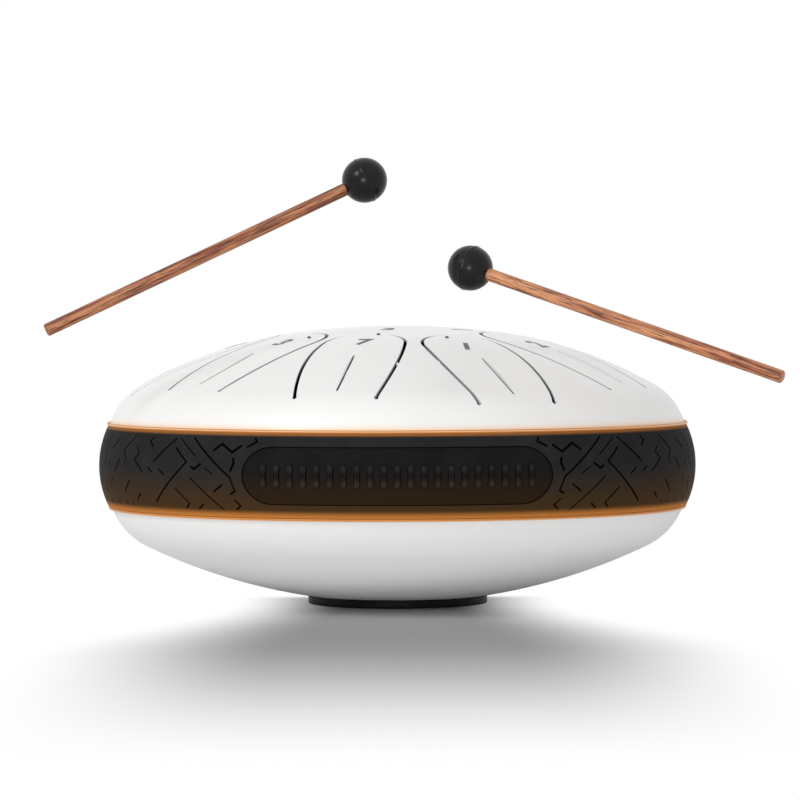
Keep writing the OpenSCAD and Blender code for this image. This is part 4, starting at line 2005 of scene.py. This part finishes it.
@dataclass
class FootRing:
    """The rubber ring that the drum stands on, gripping the sound port's edge.

    Its outer edge tapers to the bowl in two steps: seat_side is how far the first starts under the seat's
    edge, and seat_lip how far the second lies inwards and under it.
    """

    finish: Finish
    section: BowlSection = field(default_factory=lambda: LOWER_BOWL)
    outer_r: float = 45.8
    bore_r: float = 27.0
    lip_grip: float = 3.0
    lip_t: float = 1.6
    edge_r: float = 0.8
    edge_steps: int = 6
    corner: float = 0.4
    seat_side: float = 0.35
    seat_lip: tuple[float, float] = (0.3, 0.06)
    seat_points: int = 8
    pole_z: float = 0.7

    def face_z(self, r: float, inset: float) -> float:
        """Height of the lower bowl's face, drawn inwards by inset, over the table at a radius."""
        return self.pole_z + self.section.crown_r - math.sqrt((self.section.crown_r - inset) ** 2 - r * r)

    def build(self, tree: ShapeTree) -> None:
        """Turn the ring's section and place it.

        Args:
            tree: The turning tree.
        """
        sheet, port, lip = self.section.sheet, PORT_R - SEAT_GAP, PORT_R + self.lip_grip
        outer, bore, edge, corner = self.outer_r, self.bore_r, self.edge_r, self.corner
        top = self.face_z(lip, sheet) + self.lip_t
        seat_top = self.face_z(outer, -SEAT_GAP)
        rows = [
            [bore + corner, 0],
            *arc((outer - edge, edge), edge, -90, 0, self.edge_steps),
            [outer, seat_top - self.seat_side],
            [outer - self.seat_lip[0], seat_top - self.seat_lip[1]],
            *[[r, self.face_z(r, -SEAT_GAP)] for r in np.linspace(outer - 1, port, self.seat_points)],
            [port, self.face_z(port, sheet + SEAT_GAP)],
            [lip, self.face_z(lip, sheet + SEAT_GAP)],
            [lip, top - corner],
            [lip - corner, top],
            [bore + corner, top],
            [bore, top - corner],
            [bore, corner],
            [bore + corner, 0],
        ]
        profile = np.array(rows, float)
        piece = turned("port_foot", profile, self.finish.material(), tree, segments=180, crease=25)
        place_piece("port_foot", DRUM, self.finish, piece, "foot_ring")


# Mallets


class Side(Enum):
    """Which of the pair a mallet is, and the sign of its place along X."""

    LEFT = -1
    RIGHT = 1


@dataclass
class Mallet:
    """A rubber ball on a lacquered stick, held raised over the tongues.

    Its head is given by its distances from the axis and its rise over the drum. The stick's turn and dip
    are in degrees, and light and seed are those of its wood.
    """

    side: Side
    rubber: Finish
    head_x: float
    head_y: float
    rise: float
    turn_deg: float
    dip: float
    light: float
    seed: float
    top_z: float = 141.9
    head_d: float = 22.4
    stick_d: float = 6.4
    reach: float = 174.5
    tenon: float = 4.0
    butt_round: float = 1.2
    butt_steps: int = 6
    stick_points: int = 40
    bore_gap: float = 0.05
    mouth_w: float = 0.5
    mouth_lip: tuple[tuple[float, float], ...] = ((0.0, 0.55), (0.12, 0.16))
    seam_w: float = 0.8
    seam_rise: float = 0.02
    seam_foot: float = 1.7
    ball_steps: tuple[int, int] = (26, 30)

    def place(self) -> Matrix:
        """Work out where the mallet is held.

        Returns:
            The matrix, in metres, that lays a mallet turned round Z in its raised place.
        """
        way = self.side.value
        spin = 180 + self.turn_deg if way < 0 else -self.turn_deg
        move = Matrix.Translation(Vector((way * self.head_x, -self.head_y, self.top_z + self.rise)) * MM)
        turn = Matrix.Rotation(math.radians(spin), 4, "Z") @ Matrix.Rotation(math.radians(self.dip), 4, "Y")
        return move @ turn @ Matrix.Rotation(math.radians(90), 4, "Y")

    def stick(self, tree: ShapeTree, finish: bpy.types.Material) -> bpy.types.Object:
        """Turn the stick, from the bottom of its bore to its rounded butt.

        Args:
            tree: The turning tree.
            finish: The wood.

        Returns:
            The stick.
        """
        r, end, ease = self.stick_d / 2, self.reach, self.butt_round
        start = -self.tenon + self.bore_gap
        side = [[r, z] for z in np.linspace(start, end - ease, self.stick_points)]
        butt = arc((r - ease, end - ease), ease, 0, 90, self.butt_steps)[1:]
        rows = np.array([[0, start], *side, *butt, [0, end]], float)
        return turned("stick", rows, finish, tree, segments=48, crease=40, turn=self.place())

    def head(self, tree: ShapeTree, finish: bpy.types.Material) -> bpy.types.Object:
        """Turn the head: a ball with a raised moulding seam and the mouth of its bore.

        Args:
            tree: The turning tree.
            finish: The rubber.

        Returns:
            The head.
        """
        ball, bore = self.head_d / 2, self.stick_d / 2 + self.bore_gap
        seam = math.degrees(math.asin(self.seam_w / 2 / ball))
        mouth = math.degrees(math.acos((bore + self.mouth_w) / ball))
        mouth_z = ball * math.sin(math.radians(mouth))
        lip = [[bore + out, mouth_z - under] for out, under in self.mouth_lip]
        upper = arc((0, 0), ball, mouth, seam * self.seam_foot, self.ball_steps[0])
        ridge = arc((0, 0), ball * (1 + self.seam_rise), seam, -seam, 4)
        lower = arc((0, 0), ball, -seam * self.seam_foot, -90, self.ball_steps[1])
        lower[-1, 0] = 0.0
        rows = np.vstack(([[0, -self.tenon], [bore, -self.tenon]], lip, upper, ridge, lower))
        return turned("head", rows, finish, tree, segments=96, crease=60, turn=self.place())

    def build(self, tree: ShapeTree) -> None:
        """Build and place the stick and the head.

        Args:
            tree: The turning tree.
        """
        word = self.side.name.lower()
        body = f"{word}_mallet"
        name, place = f"{word}_stick_wood", self.place()
        wood = Lacquered(name, "stick_wood", turn=place, light=self.light, seed=self.seed)
        stick = self.stick(tree, wood.material())
        place_piece(f"{word}_stick", body, wood, stick, f"{word}_mallet_stick")
        head = self.head(tree, self.rubber.material())
        place_piece(f"{word}_ball", body, self.rubber, head, f"{word}_mallet_head")


# Studio


@dataclass(frozen=True)
class Lamp:
    """One square soft light: its place and side in metres, its power in watts, and its colour."""

    name: str
    place: tuple[float, float, float]
    side: float
    power: float
    colour: Colour = (1.0, 1.0, 1.0)
    mirrored: bool = True


@dataclass
class Studio:
    """The camera, the pale floor, the backdrop and the soft light.

    The pool is the part of the floor that the camera sees as grey, a painted shadow before the drum on which
    its real shadow also falls. Its sizes are in metres: half its width under the drum, how much that widens
    over its run towards the camera, and from where to where the pool fades out in front and behind. Its plain
    middle is a share of its width.
    """

    eye: tuple[float, float, float] = (1.43, -2500.0, 172.0)
    aim: tuple[float, float, float] = (1.43, 0.0, 103.84)
    frame_w: float = 409.6
    roll: float = -0.17
    sensor: float = 36.0
    clip: tuple[float, float] = (0.05, 50.0)
    ambient: float = 0.66
    lamp_aim: tuple[float, float, float] = (0.0, 0.0, 0.07)
    lamps: tuple[Lamp, ...] = (
        Lamp("key", (-1.6, -1.6, 1.6), side=0.7, power=18.5, colour=(1.0, 0.995, 0.985)),
        Lamp("fill", (-0.3, -2.6, 0.16), side=0.5, power=16.0),
        Lamp("back", (0.0, 2.2, 0.95), side=1.0, power=22.0, mirrored=False),
    )
    floor_x: tuple[float, float] = (-4000.0, 4000.0)
    floor_y: tuple[float, float] = (-3000.0, 5000.0)
    floor_z: float = -0.1
    floor_white: float = 0.97
    painted_shadow_grey: float = 0.36
    pool_half: float = 0.085
    pool_widens: float = 0.085
    pool_run: float = -0.35
    pool_plain: float = 0.3
    pool_near: tuple[float, float] = (-0.26, -0.84)
    pool_far: tuple[float, float] = (0.03, 0.06)

    def camera(self) -> None:
        """Place the camera at the photograph's viewing angle."""
        data = bpy.data.cameras.new("camera")
        made = linked("camera", data)
        eye, aim = Vector(self.eye) * MM, Vector(self.aim) * MM
        look = aim - eye
        data.sensor_width = self.sensor
        data.lens = data.sensor_width * look.length / (self.frame_w * MM)
        data.clip_start, data.clip_end = self.clip
        made.location = eye
        made.rotation_mode = "QUATERNION"
        tilt = Matrix.Rotation(math.radians(self.roll), 4, "Z")
        made.rotation_quaternion = (look.to_track_quat("-Z", "Y").to_matrix().to_4x4() @ tilt).to_quaternion()
        bpy.context.scene.camera = made

    def hang(self, lamp: Lamp) -> None:
        """Hang one lamp so that it faces the drum.

        Args:
            lamp: The lamp. If it isn't mirrored, glossy faces don't show it.
        """
        data = bpy.data.lights.new(lamp.name, "AREA")
        data.shape, data.size, data.energy, data.color = "SQUARE", lamp.side, lamp.power, lamp.colour
        made = linked(lamp.name, data)
        made.location = lamp.place
        made.rotation_mode = "QUATERNION"
        made.rotation_quaternion = (Vector(self.lamp_aim) - Vector(lamp.place)).to_track_quat("-Z", "Y")
        made.visible_glossy = lamp.mirrored

    def white_share(self, bench: PaintBench) -> Value:
        """Tell the rays that see the white backdrop from the others.

        Args:
            bench: The bench of the tree that asks.

        Returns:
            1 for camera, glossy and transmission rays, and 0 for all others.
        """
        path = bench.node("ShaderNodeLightPath")
        camera, glossy, through = (
            Value(bench, path.outputs[name])
            for name in ("Is Camera Ray", "Is Glossy Ray", "Is Transmission Ray")
        )
        return camera.larger(glossy).larger(through)

    def backdrop(self) -> None:
        """White world to the camera, and an even soft light to everything else."""
        world = bpy.data.worlds.new("studio")
        bpy.context.scene.world = world
        bench = PaintBench.clean(world)
        soft, white = (
            bench.out("ShaderNodeBackground", {}, {"Color": (1, 1, 1, 1), "Strength": strength})
            for strength in (self.ambient, 1.0)
        )
        mixed = bench.out("ShaderNodeMixShader", {}, {0: self.white_share(bench), 1: soft, 2: white})
        bench.node("ShaderNodeOutputWorld", {}, {"Surface": mixed})

    def floor(self) -> None:
        """A wide pale floor, grey to the camera in a pool of painted shadow before the drum, and white beyond
        it.
        """
        (left, right), (front, back) = self.floor_x, self.floor_y
        plan = ((left, front), (right, front), (right, back), (left, back))
        piece = object_of("floor", [(*corner, self.floor_z) for corner in plan], [(0, 1, 2, 3)])
        made = bpy.data.materials.new("floor_white")
        bench = PaintBench.clean(made)
        seen = Value(bench, bench.out("ShaderNodeLightPath", which="Is Camera Ray"))
        # Painted shadow: the floor is grey to the camera inside the pool, white to other rays
        pale = bench.blend(seen, (self.floor_white,) * 3, (self.painted_shadow_grey,) * 3)
        paint = bench.out("ShaderNodeBsdfDiffuse", {}, {"Color": pale})
        glow = bench.out("ShaderNodeEmission", {}, {"Color": (1, 1, 1, 1), "Strength": 1.0})
        x, y, _ = bench.axes(bench.place())
        half = y.ramp(0.0, self.pool_run) * self.pool_widens + self.pool_half
        across = (abs(x) / half).ramp(self.pool_plain, 1.0)
        along = y.ramp(*self.pool_near).larger(y.ramp(*self.pool_far))
        share = (1 - (1 - across) * (1 - along)) * self.white_share(bench)
        mixed = bench.out("ShaderNodeMixShader", {}, {0: share, 1: paint, 2: glow})
        bench.node("ShaderNodeOutputMaterial", {}, {"Surface": mixed})
        piece.data.materials.append(made)

    def build(self) -> None:
        """Set the whole studio."""
        bpy.context.scene.view_settings.view_transform = "Standard"
        self.camera()
        self.backdrop()
        self.floor()
        for lamp in self.lamps:
            self.hang(lamp)


def main() -> None:
    """Build the studio and the drum."""
    Studio().build()
    turning, row, dots = turning_tree(), row_tree(), dot_tree()
    enamel = Enamel("warm_white_enamel", "shell_enamel")
    # The dark inside primer is partly painted shade, and the greys on the cuts' walls are painted shade
    primer_and_shade = PrimerAndShade("grey_primer_and_shade", None)
    cut_edge_shade = PrimerAndShade("cut_edge_shade", None, grey=(0.38, 0.38, 0.375), pale=(0.50, 0.50, 0.49))
    TongueBowl(enamel, primer_and_shade, cut_edge_shade, Print("numeral_print", None)).build(dots)
    LowerBowl(enamel, primer_and_shade).build(turning)
    RimBand(BandRubber("band_rubber", "band_rubber")).build(row)
    upper_amber = Amber("upper_amber", "amber_trim")
    TrimBead("upper_bead", "upper_trim_bead", upper_amber, UPPER_BEAD).build(turning)
    lower_amber = Amber("lower_amber", "amber_trim", highlight_z=49.0)
    TrimBead("lower_bead", "lower_trim_bead", lower_amber, LOWER_BEAD).build(turning)
    FootRing(PlainRubber("foot_rubber", "foot_rubber")).build(turning)
    balls = PlainRubber("head_rubber", "head_rubber", rough=0.21, gloss=0.20)
    Mallet(
        Side.LEFT, balls, head_x=15.8, head_y=80.0, rise=73.0, turn_deg=7.9, dip=25.0, light=0.0, seed=0.3
    ).build(turning)
    Mallet(
        Side.RIGHT, balls, head_x=36.4, head_y=85.0, rise=29.4, turn_deg=26.7, dip=17.6, light=0.18, seed=1.7
    ).build(turning)
    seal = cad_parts["rim_gasket"]
    seal.data.materials.clear()
    seal.data.materials.append(PlainRubber("seal_rubber", "seal_rubber").material())


if __name__ == "__main__":
    main()
